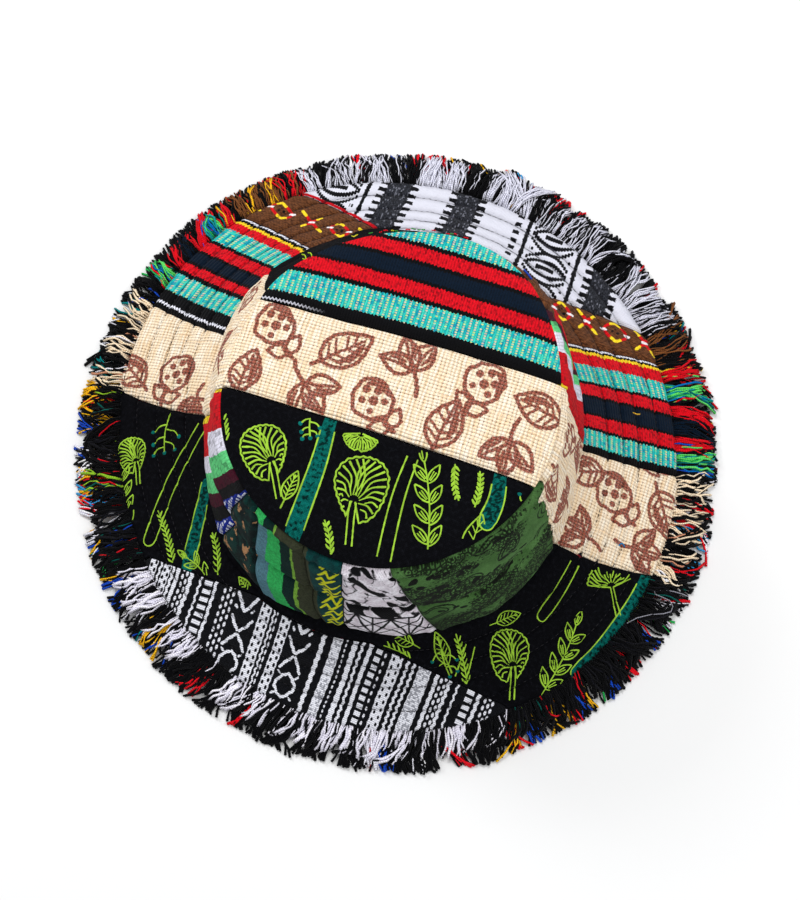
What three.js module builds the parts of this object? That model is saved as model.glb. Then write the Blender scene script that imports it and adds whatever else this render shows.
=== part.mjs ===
// Patchwork sun hat of woven hemp and cotton strips, with a raw, frayed brim edge.
// Millimetres, +Z up. The hat rests on z = 0 by the fringe round its brim; the
// origin is the middle of its outline on that surface. +X is the wearer's side,
// -Y is the front. Azimuths are in degrees, counter-clockwise from +X.
import * as THREE from 'three';

// ---- driving dimensions ----------------------------------------------------
const BRIM_CLOTH = 1.6;     // one layer of the brim
const WALL_CLOTH = 2.0;     // side wall of the crown
const TOP_CLOTH = 2.0;      // top panel of the crown
const GAP = 0.3;            // between any two pieces
const SEAM_MARGIN = 2.6;    // brim cloth reaching in under the crown wall
const TOP_MEAN_Z = 110;     // height of the crown's top seam
const TOP_DOME = 3.4;       // rise of the top panel to its middle
const TOP_ROLL = 2.0;       // how far the panel turns down at its seam
const TOP_DENT = 0.9;       // depth of the soft hollows in the panel
const WALL_BULGE = 2.4;     // fullness of the wall at half height
const CREASE_DEPTH = 2.0;   // slack fold round the wall
const CREASE_AT = 0.47;     // its height, as a share of the wall
const BRIM_HOLLOW = 0.09;   // how much the brim's slope eases towards the rim
const FRINGE_DEPTH = 2.6;   // depth of the upper fringe
const FRINGE_TIP_Z = 4.0;   // top of the upper fringe at its tips
const FRINGE_LOFT = 1.4;    // tousled rise between edge and tip
const UPPER_TIP_SHORT = 2.5;// the lower cloth's fray reaches this much further
const CENTRE = { x: -0.10, y: 0.0 }; // middle of the outline, moved to the origin

// One row for each section through the hat, every 20 degrees: radius of the top
// seam, of the seam between wall and brim, of the cloth's edge and of the fringe's
// tips, and the heights of the three seams and edges.
const SECTIONS = [
  { az: 0,   topR: 70.4, baseR: 87.6,  edgeR: 136.2, tipR: 155.0, topZ: 110.0, baseZ: 35.5, edgeZ: 8.0 },
  { az: 20,  topR: 71.4, baseR: 88.4,  edgeR: 135.2, tipR: 155.0, topZ: 110.5, baseZ: 35.8, edgeZ: 7.0 },
  { az: 40,  topR: 73.0, baseR: 96.0,  edgeR: 135.4, tipR: 155.3, topZ: 111.0, baseZ: 35.6, edgeZ: 6.2 },
  { az: 60,  topR: 71.7, baseR: 100.0, edgeR: 135.9, tipR: 154.9, topZ: 111.6, baseZ: 35.2, edgeZ: 6.8 },
  { az: 80,  topR: 68.5, baseR: 100.6, edgeR: 136.6, tipR: 154.6, topZ: 112.0, baseZ: 34.8, edgeZ: 8.2 },
  { az: 100, topR: 66.7, baseR: 100.2, edgeR: 138.5, tipR: 155.2, topZ: 112.0, baseZ: 34.8, edgeZ: 8.8 },
  { az: 120, topR: 67.2, baseR: 99.3,  edgeR: 141.1, tipR: 156.0, topZ: 111.6, baseZ: 35.2, edgeZ: 8.0 },
  { az: 140, topR: 69.0, baseR: 96.6,  edgeR: 141.9, tipR: 156.2, topZ: 111.2, baseZ: 35.6, edgeZ: 6.6 },
  { az: 160, topR: 69.7, baseR: 91.6,  edgeR: 139.2, tipR: 155.6, topZ: 110.6, baseZ: 35.8, edgeZ: 6.8 },
  { az: 180, topR: 73.4, baseR: 88.9,  edgeR: 134.9, tipR: 155.2, topZ: 110.0, baseZ: 35.6, edgeZ: 8.6 },
  { az: 200, topR: 76.8, baseR: 93.0,  edgeR: 132.9, tipR: 155.0, topZ: 109.4, baseZ: 35.0, edgeZ: 9.4 },
  { az: 220, topR: 78.4, baseR: 96.2,  edgeR: 133.9, tipR: 154.6, topZ: 109.0, baseZ: 34.4, edgeZ: 7.8 },
  { az: 240, topR: 79.7, baseR: 97.4,  edgeR: 136.0, tipR: 153.8, topZ: 108.6, baseZ: 34.0, edgeZ: 6.4 },
  { az: 260, topR: 80.3, baseR: 96.8,  edgeR: 138.0, tipR: 154.2, topZ: 108.4, baseZ: 33.8, edgeZ: 7.2 },
  { az: 280, topR: 78.7, baseR: 96.9,  edgeR: 139.2, tipR: 155.6, topZ: 108.4, baseZ: 33.8, edgeZ: 9.0 },
  { az: 300, topR: 76.2, baseR: 96.7,  edgeR: 139.8, tipR: 156.8, topZ: 108.6, baseZ: 34.0, edgeZ: 8.8 },
  { az: 320, topR: 74.2, baseR: 92.7,  edgeR: 139.6, tipR: 157.4, topZ: 109.0, baseZ: 34.6, edgeZ: 6.8 },
  { az: 340, topR: 72.0, baseR: 87.9,  edgeR: 138.2, tipR: 156.4, topZ: 109.4, baseZ: 35.2, edgeZ: 6.6 },
];

// Seams across the brim: azimuth where each meets the crown and the cloth's edge.
const BRIM_SEAMS = {
  hemp_right:  { azIn: -36.8, azOut: -27.4 },
  stripe_right:{ azIn: -6.4,  azOut: -6.7 },
  brown_right: { azIn: 28.4,  azOut: 17.4 },
  ikat_right:  { azIn: 44.3,  azOut: 24.2 },
  ikat_left:   { azIn: 94.4,  azOut: 110.9 },
  brown_left:  { azIn: 114.1, azOut: 123.3 },
  stripe_left: { azIn: 150.5, azOut: 149.0 },
  hemp_left:   { azIn: 176.0, azOut: 168.4 },
};
// Strips of the upper layer, each from one seam to the next, counter-clockwise.
const BRIM_STRIPS = [
  { name: 'hemp_right',   from: 'hemp_right',   to: 'stripe_right', tone: '#ecd6b0' },
  { name: 'stripe_right', from: 'stripe_right', to: 'brown_right',  tone: '#c22030' },
  { name: 'brown_right',  from: 'brown_right',  to: 'ikat_right',   tone: '#5a3826' },
  { name: 'ikat',         from: 'ikat_right',   to: 'ikat_left',    tone: '#c9c8d6' },
  { name: 'brown_left',   from: 'ikat_left',    to: 'brown_left',   tone: '#5a3826' },
  { name: 'stripe_left',  from: 'brown_left',   to: 'stripe_left',  tone: '#c22030' },
  { name: 'hemp_left',    from: 'stripe_left',  to: 'hemp_left',    tone: '#ecd6b0' },
];
// The front strip lies outside a straight seam at this distance and azimuth.
const FRONT_SEAM = { reach: 96.2, az: 247.3, neck: 3.2, azFrom: 205.2, azTo: 292.4 };

// Seams across the top panel, from its left edge to its right edge.
const TOP_SEAMS = {
  stripe_hemp: { azLeft: 147.6, azRight: -1.1 },
  hemp_black:  { azLeft: 181.4, azRight: -38.1 },
};

// Patches of the side wall, in order: each starts where the one before ends.
const WALL_PATCHES = [
  { name: 'wall_brown',        azBase: 40.1,  azTop: 27.6,  tone: '#4a2e22' },
  { name: 'wall_back_black',   azBase: 66.0,  azTop: 62.0,  tone: '#17171d' },
  { name: 'wall_hemp_left',    azBase: 127.5, azTop: 144.8, tone: '#ecd6b0' },
  { name: 'wall_stripe_left',  azBase: 177.3, azTop: 181.6, tone: '#c22030' },
  { name: 'wall_camo',         azBase: 212.4, azTop: 217.5, tone: '#10383a' },
  { name: 'wall_green_stripe', azBase: 231.0, azTop: 222.8, tone: '#4c9c63' },
  { name: 'wall_teal',         azBase: 249.5, azTop: 241.4, tone: '#0f4a4c' },
  { name: 'wall_white_print',  azBase: 255.9, azTop: 254.2, tone: '#d9d4dc' },
  { name: 'wall_olive',        azBase: 281.4, azTop: 268.4, tone: '#466437' },
  { name: 'wall_hemp_right',   azBase: 322.7, azTop: 323.1, tone: '#ecd6b0' },
  { name: 'wall_stripe_right', azBase: 353.9, azTop: 359.0, tone: '#c22030' },
];

// ---- surfaces --------------------------------------------------------------
const rad = (deg) => deg * Math.PI / 180;
const STEP = 360 / SECTIONS.length;

// Value of one column at any azimuth: a smooth closed curve through the rows.
function at(column, az) {
  const n = SECTIONS.length;
  const u = (((az % 360) + 360) % 360) / STEP;
  const k = Math.floor(u), f = u - k;
  const [p, q, r, s] = [-1, 0, 1, 2].map((d) => SECTIONS[(k + d + n) % n][column]);
  return 0.5 * (2 * q + (r - p) * f + (2 * p - 5 * q + 4 * r - s) * f * f + (3 * q - p - 3 * r + s) * f * f * f);
}

const point = (az, r, z) => [r * Math.cos(rad(az)) - CENTRE.x, r * Math.sin(rad(az)) - CENTRE.y, z];

// Top of the brim's upper layer at a share s of the way from crown to edge.
function brimZ(az, s) {
  const fall = at('edgeZ', az) - at('baseZ', az);
  return at('baseZ', az) + fall * (s + BRIM_HOLLOW * Math.sin(Math.PI * Math.min(1, Math.max(0, s))));
}
const brimShare = (az, r) => (r - at('baseR', az)) / (at('edgeR', az) - at('baseR', az));

// Outer face of the crown's wall at a share t of its height.
function wallPoint(az, t, inset) {
  const base = at('baseR', az), top = at('topR', az);
  const fold = CREASE_DEPTH * Math.exp(-(((t - CREASE_AT) / 0.09) ** 2));
  const r = base + (top - base) * t + WALL_BULGE * Math.sin(Math.PI * t) - fold - inset;
  const foot = brimZ(az, brimShare(az, base - inset)) + GAP;
  const head = at('topZ', az) - TOP_CLOTH - GAP;
  return point(az, r, foot + (head - foot) * t);
}

// Top panel's height over a point of the plan.
function panelZ(az, share) {
  const edge = TOP_MEAN_Z + (at('topZ', az) - TOP_MEAN_Z) * share * share;
  const r = at('topR', az) * share;
  const x = r * Math.cos(rad(az)), y = r * Math.sin(rad(az));
  const dents = TOP_DENT * Math.sin(x / 19 + 0.6) * Math.cos(y / 23 - 0.4) * (1 - share ** 4);
  return edge + TOP_DOME * (1 - share ** 2) + TOP_ROLL * (1 - share ** 14) + dents;
}

// ---- solids ----------------------------------------------------------------
// A closed shell between two grids of points, [row][column]; a ring when wrapped.
function shell(upper, lower, wrap = false) {
  const rows = upper.length, cols = upper[0].length;
  const flat = [...upper.flat(), ...lower.flat()];
  const id = (side, i, j) => side * rows * cols + i * cols + (j % cols);
  const faces = [];
  const quad = (a, b, c, d) => faces.push([a, b, c], [a, c, d]);
  const last = wrap ? cols : cols - 1;
  for (let i = 0; i < rows - 1; i++) {
    for (let j = 0; j < last; j++) {
      quad(id(0, i, j), id(0, i, j + 1), id(0, i + 1, j + 1), id(0, i + 1, j));
      quad(id(1, i, j), id(1, i + 1, j), id(1, i + 1, j + 1), id(1, i, j + 1));
    }
  }
  for (let j = 0; j < last; j++) {
    quad(id(0, 0, j + 1), id(0, 0, j), id(1, 0, j), id(1, 0, j + 1));
    quad(id(0, rows - 1, j), id(0, rows - 1, j + 1), id(1, rows - 1, j + 1), id(1, rows - 1, j));
  }
  if (!wrap) {
    for (let i = 0; i < rows - 1; i++) {
      quad(id(0, i, 0), id(0, i + 1, 0), id(1, i + 1, 0), id(1, i, 0));
      quad(id(0, i + 1, cols - 1), id(0, i, cols - 1), id(1, i, cols - 1), id(1, i + 1, cols - 1));
    }
  }
  let volume = 0;
  for (const [a, b, c] of faces) {
    const [p, q, r] = [flat[a], flat[b], flat[c]];
    volume += p[0] * (q[1] * r[2] - q[2] * r[1]) - p[1] * (q[0] * r[2] - q[2] * r[0]) + p[2] * (q[0] * r[1] - q[1] * r[0]);
  }
  const geometry = new THREE.BufferGeometry();
  geometry.setAttribute('position', new THREE.BufferAttribute(new Float32Array(flat.flat()), 3));
  geometry.setIndex((volume < 0 ? faces.map(([a, b, c]) => [a, c, b]) : faces).flat());
  geometry.computeVertexNormals();
  return geometry;
}

const hat = new THREE.Group();
hat.name = 'sun_hat';
function add(name, geometry, color, roughness = 0.9) {
  const mesh = new THREE.Mesh(geometry, new THREE.MeshStandardMaterial({ color, roughness, metalness: 0 }));
  mesh.name = name;
  hat.add(mesh);
}

const range = (n) => Array.from({ length: n + 1 }, (_, i) => i / n);
const lerp = (a, b, f) => a + (b - a) * f;
const columns = (span, step = 5.5) => Math.max(2, Math.ceil(Math.abs(span) / step));
const trim = (r) => (GAP / 2 / r) * 180 / Math.PI;   // half the gap, as an angle

// ---- crown: top panel ------------------------------------------------------
// Rows of straight chords across the panel, between azimuths on its outline.
function chordPanel(leftFrom, leftTo, rightFrom, rightTo, rows, cols) {
  const upper = [], lower = [];
  for (const f of range(rows)) {
    const aL = lerp(leftFrom, leftTo, f), aR = lerp(rightFrom, rightTo, f);
    const [L, R] = [[aL, at('topR', aL)], [aR, at('topR', aR)]]
      .map(([a, r]) => [r * Math.cos(rad(a)), r * Math.sin(rad(a))]);
    const rowTop = [], rowLow = [];
    for (const g of range(cols)) {
      const u = 0.5 - 0.5 * Math.cos(Math.PI * g);
      const x = lerp(L[0], R[0], u), y = lerp(L[1], R[1], u);
      const az = Math.atan2(y, x) * 180 / Math.PI;
      const z = panelZ(az, Math.min(1, Math.hypot(x, y) / at('topR', az)));
      rowTop.push([x - CENTRE.x, y - CENTRE.y, z]);
      rowLow.push([x - CENTRE.x, y - CENTRE.y, z - TOP_CLOTH]);
    }
    upper.push(rowTop);
    lower.push(rowLow);
  }
  return shell(upper, lower);
}
const edgeTrim = trim(72) * 2.4;   // seams cross the outline at a slant
const { stripe_hemp, hemp_black } = TOP_SEAMS;
add('crown_top_stripe', chordPanel(stripe_hemp.azLeft - edgeTrim, 77, stripe_hemp.azRight + edgeTrim, 70, 8, 10), '#c22030');
add('crown_top_hemp', chordPanel(stripe_hemp.azLeft + edgeTrim, hemp_black.azLeft - edgeTrim, stripe_hemp.azRight - edgeTrim, hemp_black.azRight + edgeTrim, 5, 12), '#ecd6b0');
add('crown_top_black', chordPanel(hemp_black.azLeft + edgeTrim, 249, hemp_black.azRight - edgeTrim, -105, 8, 10), '#17171d');

// ---- crown: side wall ------------------------------------------------------
const WALL_ROWS = [0, 0.16, 0.36, 0.47, 0.58, 0.8, 1];
WALL_PATCHES.forEach((patch, k) => {
  const next = WALL_PATCHES[(k + 1) % WALL_PATCHES.length];
  const turn = next.azBase < patch.azBase ? 360 : 0;
  const n = columns(next.azBase + turn - patch.azBase);
  const face = (inset) => WALL_ROWS.map((t) => range(n).map((g) => {
    const from = lerp(patch.azBase, patch.azTop, t), to = lerp(next.azBase, next.azTop, t) + turn;
    const slack = trim(at('topR', from)) * 1.3;
    return wallPoint(lerp(from + slack, to - slack, g), t, inset);
  }));
  add(patch.name, shell(face(0), face(WALL_CLOTH)), patch.tone);
});

// ---- brim ------------------------------------------------------------------
// One layer of brim cloth; `inner` and `outer` give radii at an azimuth, and
// `azimuth` turns a share across the piece and a share outward into an azimuth.
function brimLayer(cols, rows, azimuth, inner, outer, drop, wrap = false) {
  const face = (depth) => range(rows).map((f) => {
    const ring = range(cols).map((g) => {
      const az = azimuth(g, f);
      const r = lerp(inner(az), outer(az), f);
      return point(az, r, brimZ(az, brimShare(az, r)) - depth);
    });
    return wrap ? ring.slice(0, -1) : ring;
  });
  return shell(face(drop), face(drop + BRIM_CLOTH), wrap);
}
const innerEdge = (az) => at('baseR', az) - SEAM_MARGIN;
const clothEdge = (az) => at('edgeR', az);

const seamTrim = trim(90) * 1.15;
const seamAz = (seam, f, side) => lerp(seam.azIn, seam.azOut, f) + side * seamTrim;
for (const strip of BRIM_STRIPS) {
  const from = BRIM_SEAMS[strip.from], to = BRIM_SEAMS[strip.to];
  add('brim_' + strip.name, brimLayer(columns(to.azOut - from.azOut), 4,
    (g, f) => lerp(seamAz(from, f, 1), seamAz(to, f, -1), g), innerEdge, clothEdge, 0), strip.tone);
}

// Straight front seam, bending round the crown where it would run under it.
const frontSeam = (az) => Math.max(FRONT_SEAM.reach / Math.cos(rad(az - FRONT_SEAM.az)), at('baseR', az) + FRONT_SEAM.neck);
const inFront = (az) => az > FRONT_SEAM.azFrom && az < FRONT_SEAM.azTo;
{
  const left = BRIM_SEAMS.hemp_left, right = BRIM_SEAMS.hemp_right;
  const corner = 0.25;   // degrees taken by the piece's inner corners
  const stops = (f) => {
    const start = seamAz(left, f, 1), end = seamAz(right, f, -1) + 360;
    const list = [];
    range(6).forEach((g) => list.push(lerp(start, FRONT_SEAM.azFrom - corner, g)));
    range(17).forEach((g) => list.push(lerp(FRONT_SEAM.azFrom + corner, FRONT_SEAM.azTo - corner, g)));
    range(8).forEach((g) => list.push(lerp(FRONT_SEAM.azTo + corner, end, g)));
    return list;
  };
  const outer = (az) => (inFront(az) ? frontSeam(az) - GAP / 2 : clothEdge(az));
  const face = (depth) => range(4).map((f) => stops(f).map((az) => {
    const r = lerp(innerEdge(az), outer(az), f);
    return point(az, r, brimZ(az, brimShare(az, r)) - depth);
  }));
  add('brim_black', shell(face(0), face(BRIM_CLOTH)), '#17171d');
  const inset = 0.55;
  add('brim_weave_front', brimLayer(17, 4,
    (g) => lerp(FRONT_SEAM.azFrom + inset, FRONT_SEAM.azTo - inset, g), (az) => frontSeam(az) + GAP, clothEdge, 0), '#8c8c98');
}

add('brim_under', brimLayer(60, 4, (g) => g * 360, innerEdge, clothEdge, BRIM_CLOTH + GAP, true), '#1c1c22');

// ---- fringe ----------------------------------------------------------------
// The outer form of the frayed threads: the upper strips' own, and below it the
// lower cloth's, which the hat rests on.
const FRINGE_GAP = 0.4;
const fringeR = (az, q) => lerp(at('edgeR', az) + FRINGE_GAP, at('tipR', az) - UPPER_TIP_SHORT, q);
function fringeTop(az, q) {
  return lerp(at('edgeZ', az) + 0.6, FRINGE_TIP_Z, q) + FRINGE_LOFT * Math.sin(Math.PI * q);
}
function fringeSolid(azFrom, azTo) {
  const n = columns(azTo - azFrom);
  const slack = trim(136) * 1.3;
  const face = (depth) => range(3).map((q) => range(n).map((g) => {
    const az = lerp(azFrom + slack, azTo - slack, g);
    return point(az, fringeR(az, q), fringeTop(az, q) - depth);
  }));
  return shell(face(0), face(FRINGE_DEPTH));
}
const out = (name) => BRIM_SEAMS[name].azOut;
const FRINGES = [
  { name: 'fringe_hemp_right',   from: out('hemp_right'),   to: out('stripe_right'),     tone: '#ecd6b0' },
  { name: 'fringe_stripe_right', from: out('stripe_right'), to: out('brown_right'),      tone: '#c22030' },
  { name: 'fringe_brown_right',  from: out('brown_right'),  to: out('ikat_right'),       tone: '#5a3826' },
  { name: 'fringe_ikat',         from: out('ikat_right'),   to: out('ikat_left'),        tone: '#c9c8d6' },
  { name: 'fringe_brown_left',   from: out('ikat_left'),    to: out('brown_left'),       tone: '#5a3826' },
  { name: 'fringe_stripe_left',  from: out('brown_left'),   to: out('stripe_left'),      tone: '#c22030' },
  { name: 'fringe_hemp_left',    from: out('stripe_left'),  to: out('hemp_left'),        tone: '#ecd6b0' },
  { name: 'fringe_black_left',   from: out('hemp_left'),    to: FRONT_SEAM.azFrom,       tone: '#17171d' },
  { name: 'fringe_weave_front',  from: FRONT_SEAM.azFrom,   to: FRONT_SEAM.azTo,         tone: '#8c8c98' },
  { name: 'fringe_black_right',  from: FRONT_SEAM.azTo,     to: out('hemp_right') + 360, tone: '#17171d' },
];
for (const f of FRINGES) add(f.name, fringeSolid(f.from, f.to), f.tone, 0.95);
{
  const sides = 60, layerGap = 0.45;
  const ring = (f) => range(sides).slice(0, -1).map((g) => f(g * 360));
  const upper = range(3).map((q) => ring((az) => point(az, fringeR(az, q), fringeTop(az, q) - FRINGE_DEPTH - layerGap)));
  const lower = range(3).map((q) => ring((az) => point(az, fringeR(az, q), 0)));
  upper.push(ring((az) => point(az, at('tipR', az), FRINGE_TIP_Z - FRINGE_DEPTH - layerGap)));
  lower.push(ring((az) => point(az, at('tipR', az), 0)));
  add('fringe_under', shell(upper, lower, true), '#2a2a30', 0.95);
}

export default hat;
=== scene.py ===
# Patchwork sun hat of striped, printed and patterned cloth strips with a frayed brim.
# Shapes are worked out in millimetres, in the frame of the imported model, and written
# to the meshes in metres.
import math

import bpy
import numpy as np
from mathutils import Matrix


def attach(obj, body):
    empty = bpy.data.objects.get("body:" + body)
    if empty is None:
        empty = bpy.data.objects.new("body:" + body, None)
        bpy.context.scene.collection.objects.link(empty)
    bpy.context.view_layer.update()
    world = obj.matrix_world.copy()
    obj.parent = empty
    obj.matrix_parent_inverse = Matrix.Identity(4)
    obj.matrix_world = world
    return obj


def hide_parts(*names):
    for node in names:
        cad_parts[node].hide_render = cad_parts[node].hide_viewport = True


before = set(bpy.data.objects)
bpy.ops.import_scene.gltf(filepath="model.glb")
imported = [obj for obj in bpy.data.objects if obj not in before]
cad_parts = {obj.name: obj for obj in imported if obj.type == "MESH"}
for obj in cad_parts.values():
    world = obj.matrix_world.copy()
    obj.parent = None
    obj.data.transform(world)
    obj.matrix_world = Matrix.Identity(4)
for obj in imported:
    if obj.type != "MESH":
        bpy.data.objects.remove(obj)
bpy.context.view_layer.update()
MM = 0.001
GRID = 0.54        # spacing of the cloth meshes, mm


# ---------------------------------------------------------------- camera, light
def look_at(obj, target):
    d = np.array(target, float) - np.array(obj.location, float)
    from mathutils import Vector
    obj.rotation_euler = Vector(d).to_track_quat("-Z", "Y").to_euler()


camera_data = bpy.data.cameras.new("camera")
camera = bpy.data.objects.new("camera", camera_data)
bpy.context.scene.collection.objects.link(camera)
camera.location = (0.00201, -0.21888, 0.81533)
camera.rotation_euler = (math.radians(15.0), 0.0, 0.0)
camera_data.lens = 69.547
camera_data.sensor_width = 36.0
camera_data.clip_start, camera_data.clip_end = 0.05, 20.0
bpy.context.scene.camera = camera

scene = bpy.context.scene
scene.view_settings.view_transform = "Standard"
scene.view_settings.look = "None"

world = bpy.data.worlds.new("studio")
scene.world = world
world.use_nodes = True
world.node_tree.nodes["Background"].inputs["Color"].default_value = (0.98, 0.99, 1.0, 1.0)
world.node_tree.nodes["Background"].inputs["Strength"].default_value = 0.58


def area_light(name, place, size, power, target=(0, 0, 0.04), colour=(1, 1, 1)):
    data = bpy.data.lights.new(name, "AREA")
    data.shape = "RECTANGLE"
    data.size, data.size_y = size
    data.energy = power
    data.color = colour
    lamp = bpy.data.objects.new(name, data)
    scene.collection.objects.link(lamp)
    lamp.location = place
    look_at(lamp, target)
    return lamp


area_light("key_light", (-0.22, 0.58, 1.38), (0.5, 0.5), 10.0)
area_light("fill_light", (0.85, -0.25, 1.2), (1.1, 1.1), 8.5)
area_light("low_light", (-0.85, 0.75, 0.92), (0.35, 0.35), 5.8)


# ---------------------------------------------------------------- the hat's form
# One row for each section, every 20 degrees: az, topR, baseR, edgeR, tipR, topZ, baseZ, edgeZ
SECTIONS = np.array([
    [0, 70.4, 87.6, 136.2, 155.0, 110.0, 35.5, 8.0],
    [20, 71.4, 88.4, 135.2, 155.0, 110.5, 35.8, 7.0],
    [40, 73.0, 96.0, 135.4, 155.3, 111.0, 35.6, 6.2],
    [60, 71.7, 100.0, 135.9, 154.9, 111.6, 35.2, 6.8],
    [80, 68.5, 100.6, 136.6, 154.6, 112.0, 34.8, 8.2],
    [100, 66.7, 100.2, 138.5, 155.2, 112.0, 34.8, 8.8],
    [120, 67.2, 99.3, 141.1, 156.0, 111.6, 35.2, 8.0],
    [140, 69.0, 96.6, 141.9, 156.2, 111.2, 35.6, 6.6],
    [160, 69.7, 91.6, 139.2, 155.6, 110.6, 35.8, 6.8],
    [180, 73.4, 88.9, 134.9, 155.2, 110.0, 35.6, 8.6],
    [200, 76.8, 93.0, 132.9, 155.0, 109.4, 35.0, 9.4],
    [220, 78.4, 96.2, 133.9, 154.6, 109.0, 34.4, 7.8],
    [240, 79.7, 97.4, 136.0, 153.8, 108.6, 34.0, 6.4],
    [260, 80.3, 96.8, 138.0, 154.2, 108.4, 33.8, 7.2],
    [280, 78.7, 96.9, 139.2, 155.6, 108.4, 33.8, 9.0],
    [300, 76.2, 96.7, 139.8, 156.8, 108.6, 34.0, 8.8],
    [320, 74.2, 92.7, 139.6, 157.4, 109.0, 34.6, 6.8],
    [340, 72.0, 87.9, 138.2, 156.4, 109.4, 35.2, 6.6],
])
COLUMN = dict(topR=1, baseR=2, edgeR=3, tipR=4, topZ=5, baseZ=6, edgeZ=7)
CENTRE_X = -0.10
BRIM_CLOTH, WALL_CLOTH, TOP_CLOTH, GAP = 1.6, 2.0, 2.0, 0.3
SEAM_MARGIN, BRIM_HOLLOW = 2.6, 0.09
FRINGE_TIP_Z, FRINGE_LOFT, UPPER_TIP_SHORT, FRINGE_DEPTH = 4.0, 1.4, 2.5, 2.6


def at(column, az):
    """One column of the section table at any azimuth, on a smooth closed curve."""
    az = np.asarray(az, float)
    n = len(SECTIONS)
    u = np.mod(az, 360.0) / (360.0 / n)
    k = np.floor(u).astype(int)
    f = u - k
    v = SECTIONS[:, COLUMN[column]]
    p, q, r, s = v[(k - 1) % n], v[k % n], v[(k + 1) % n], v[(k + 2) % n]
    return 0.5 * (2 * q + (r - p) * f + (2 * p - 5 * q + 4 * r - s) * f * f + (3 * q - p - 3 * r + s) * f ** 3)


def point(az, r, z):
    a = np.radians(az)
    return np.stack([r * np.cos(a) - CENTRE_X, r * np.sin(a), z + 0 * a], -1)


def azimuth_of(x, y):
    return np.degrees(np.arctan2(y, x + CENTRE_X)) % 360.0


def brim_z(az, s):
    fall = at("edgeZ", az) - at("baseZ", az)
    return at("baseZ", az) + fall * (s + BRIM_HOLLOW * np.sin(np.pi * np.clip(s, 0, 1)))


def brim_share(az, r):
    return (r - at("baseR", az)) / (at("edgeR", az) - at("baseR", az))


def panel_z(az, share):
    edge = 110.0 + (at("topZ", az) - 110.0) * share ** 2
    r = at("topR", az) * share
    x, y = r * np.cos(np.radians(az)), r * np.sin(np.radians(az))
    dents = 0.9 * np.sin(x / 19 + 0.6) * np.cos(y / 23 - 0.4) * (1 - share ** 4)
    return edge + 3.4 * (1 - share ** 2) + 2.0 * (1 - share ** 14) + dents


def fringe_r(az, q):
    e = at("edgeR", az) + 0.4
    return e + (at("tipR", az) - UPPER_TIP_SHORT - e) * q


def fringe_top(az, q):
    e = at("edgeZ", az) + 0.6
    return e + (FRINGE_TIP_Z - e) * q + FRINGE_LOFT * np.sin(np.pi * q)


# ---------------------------------------------------------------- noise
def lattice(ix, iy, seed):
    h = (ix.astype(np.int64) * 374761393 + iy.astype(np.int64) * 668265263 + seed * 1442695041) & 0xFFFFFFFF
    h = ((h ^ (h >> 13)) * 1274126177) & 0xFFFFFFFF
    return ((h ^ (h >> 16)) & 0xFFFF) / 65535.0


def noise(x, y, seed=0):
    """Smooth noise from -1 to 1, with cells one unit wide."""
    x, y = np.asarray(x, float), np.asarray(y, float)
    x, y = np.broadcast_arrays(x, y)
    ix, iy = np.floor(x), np.floor(y)
    fx, fy = x - ix, y - iy
    fx, fy = fx * fx * (3 - 2 * fx), fy * fy * (3 - 2 * fy)
    a, b = lattice(ix, iy, seed), lattice(ix + 1, iy, seed)
    c, d = lattice(ix, iy + 1, seed), lattice(ix + 1, iy + 1, seed)
    return 2 * ((a + (b - a) * fx) * (1 - fy) + (c + (d - c) * fx) * fy) - 1


def wavy(x, y, seed=0, octaves=3):
    total, size = 0.0, 1.0
    for k in range(octaves):
        total = total + noise(x * 2 ** k, y * 2 ** k, seed + 17 * k) * size
        size *= 0.5
    return total


# ---------------------------------------------------------------- meshes
def make_mesh(name, places, faces, attributes=None, uvs=None, colours=None, corner_uvs=None):
    """A mesh piece from points in mm. faces: arrays of equal-length rows, or lists of
    polygons. attributes: point floats. uvs: {map: per point}. corner_uvs: {map: one
    (n, 2) array for each block of faces, in the order of its corners}."""
    loops, sizes = [], []
    for block in faces:
        if isinstance(block, np.ndarray):
            loops.append(block.ravel())
            sizes.append(np.full(len(block), block.shape[1]))
        else:
            for poly in block:
                loops.append(np.array(poly))
                sizes.append(np.array([len(poly)]))
    loops = np.concatenate(loops).astype(np.int32)
    sizes = np.concatenate(sizes).astype(np.int32)
    mesh = bpy.data.meshes.new(name)
    mesh.vertices.add(len(places))
    mesh.vertices.foreach_set("co", (np.asarray(places, np.float32) * MM).ravel())
    mesh.loops.add(len(loops))
    mesh.loops.foreach_set("vertex_index", loops)
    mesh.polygons.add(len(sizes))
    starts = np.concatenate([[0], np.cumsum(sizes)[:-1]]).astype(np.int32)
    mesh.polygons.foreach_set("loop_start", starts)
    mesh.polygons.foreach_set("loop_total", sizes)
    for key, value in (attributes or {}).items():
        layer = mesh.attributes.new(key, "FLOAT", "POINT")
        layer.data.foreach_set("value", np.asarray(value, np.float32).ravel())
    for key, value in (colours or {}).items():
        layer = mesh.attributes.new(key, "FLOAT_COLOR", "POINT")
        layer.data.foreach_set("color", np.asarray(value, np.float32).ravel())
    for key, value in (uvs or {}).items():
        layer = mesh.uv_layers.new(name=key)
        layer.data.foreach_set("uv", np.asarray(value, np.float32)[loops].ravel())
    for key, blocks in (corner_uvs or {}).items():
        layer = mesh.uv_layers.new(name=key)
        layer.data.foreach_set("uv", np.concatenate([np.asarray(k, np.float32).reshape(-1, 2) for k in blocks]).ravel())
    mesh.update()
    mesh.validate()
    mesh.polygons.foreach_set("use_smooth", np.ones(len(mesh.polygons), bool))
    obj = bpy.data.objects.new(name, mesh)
    scene.collection.objects.link(obj)
    return obj


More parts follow.
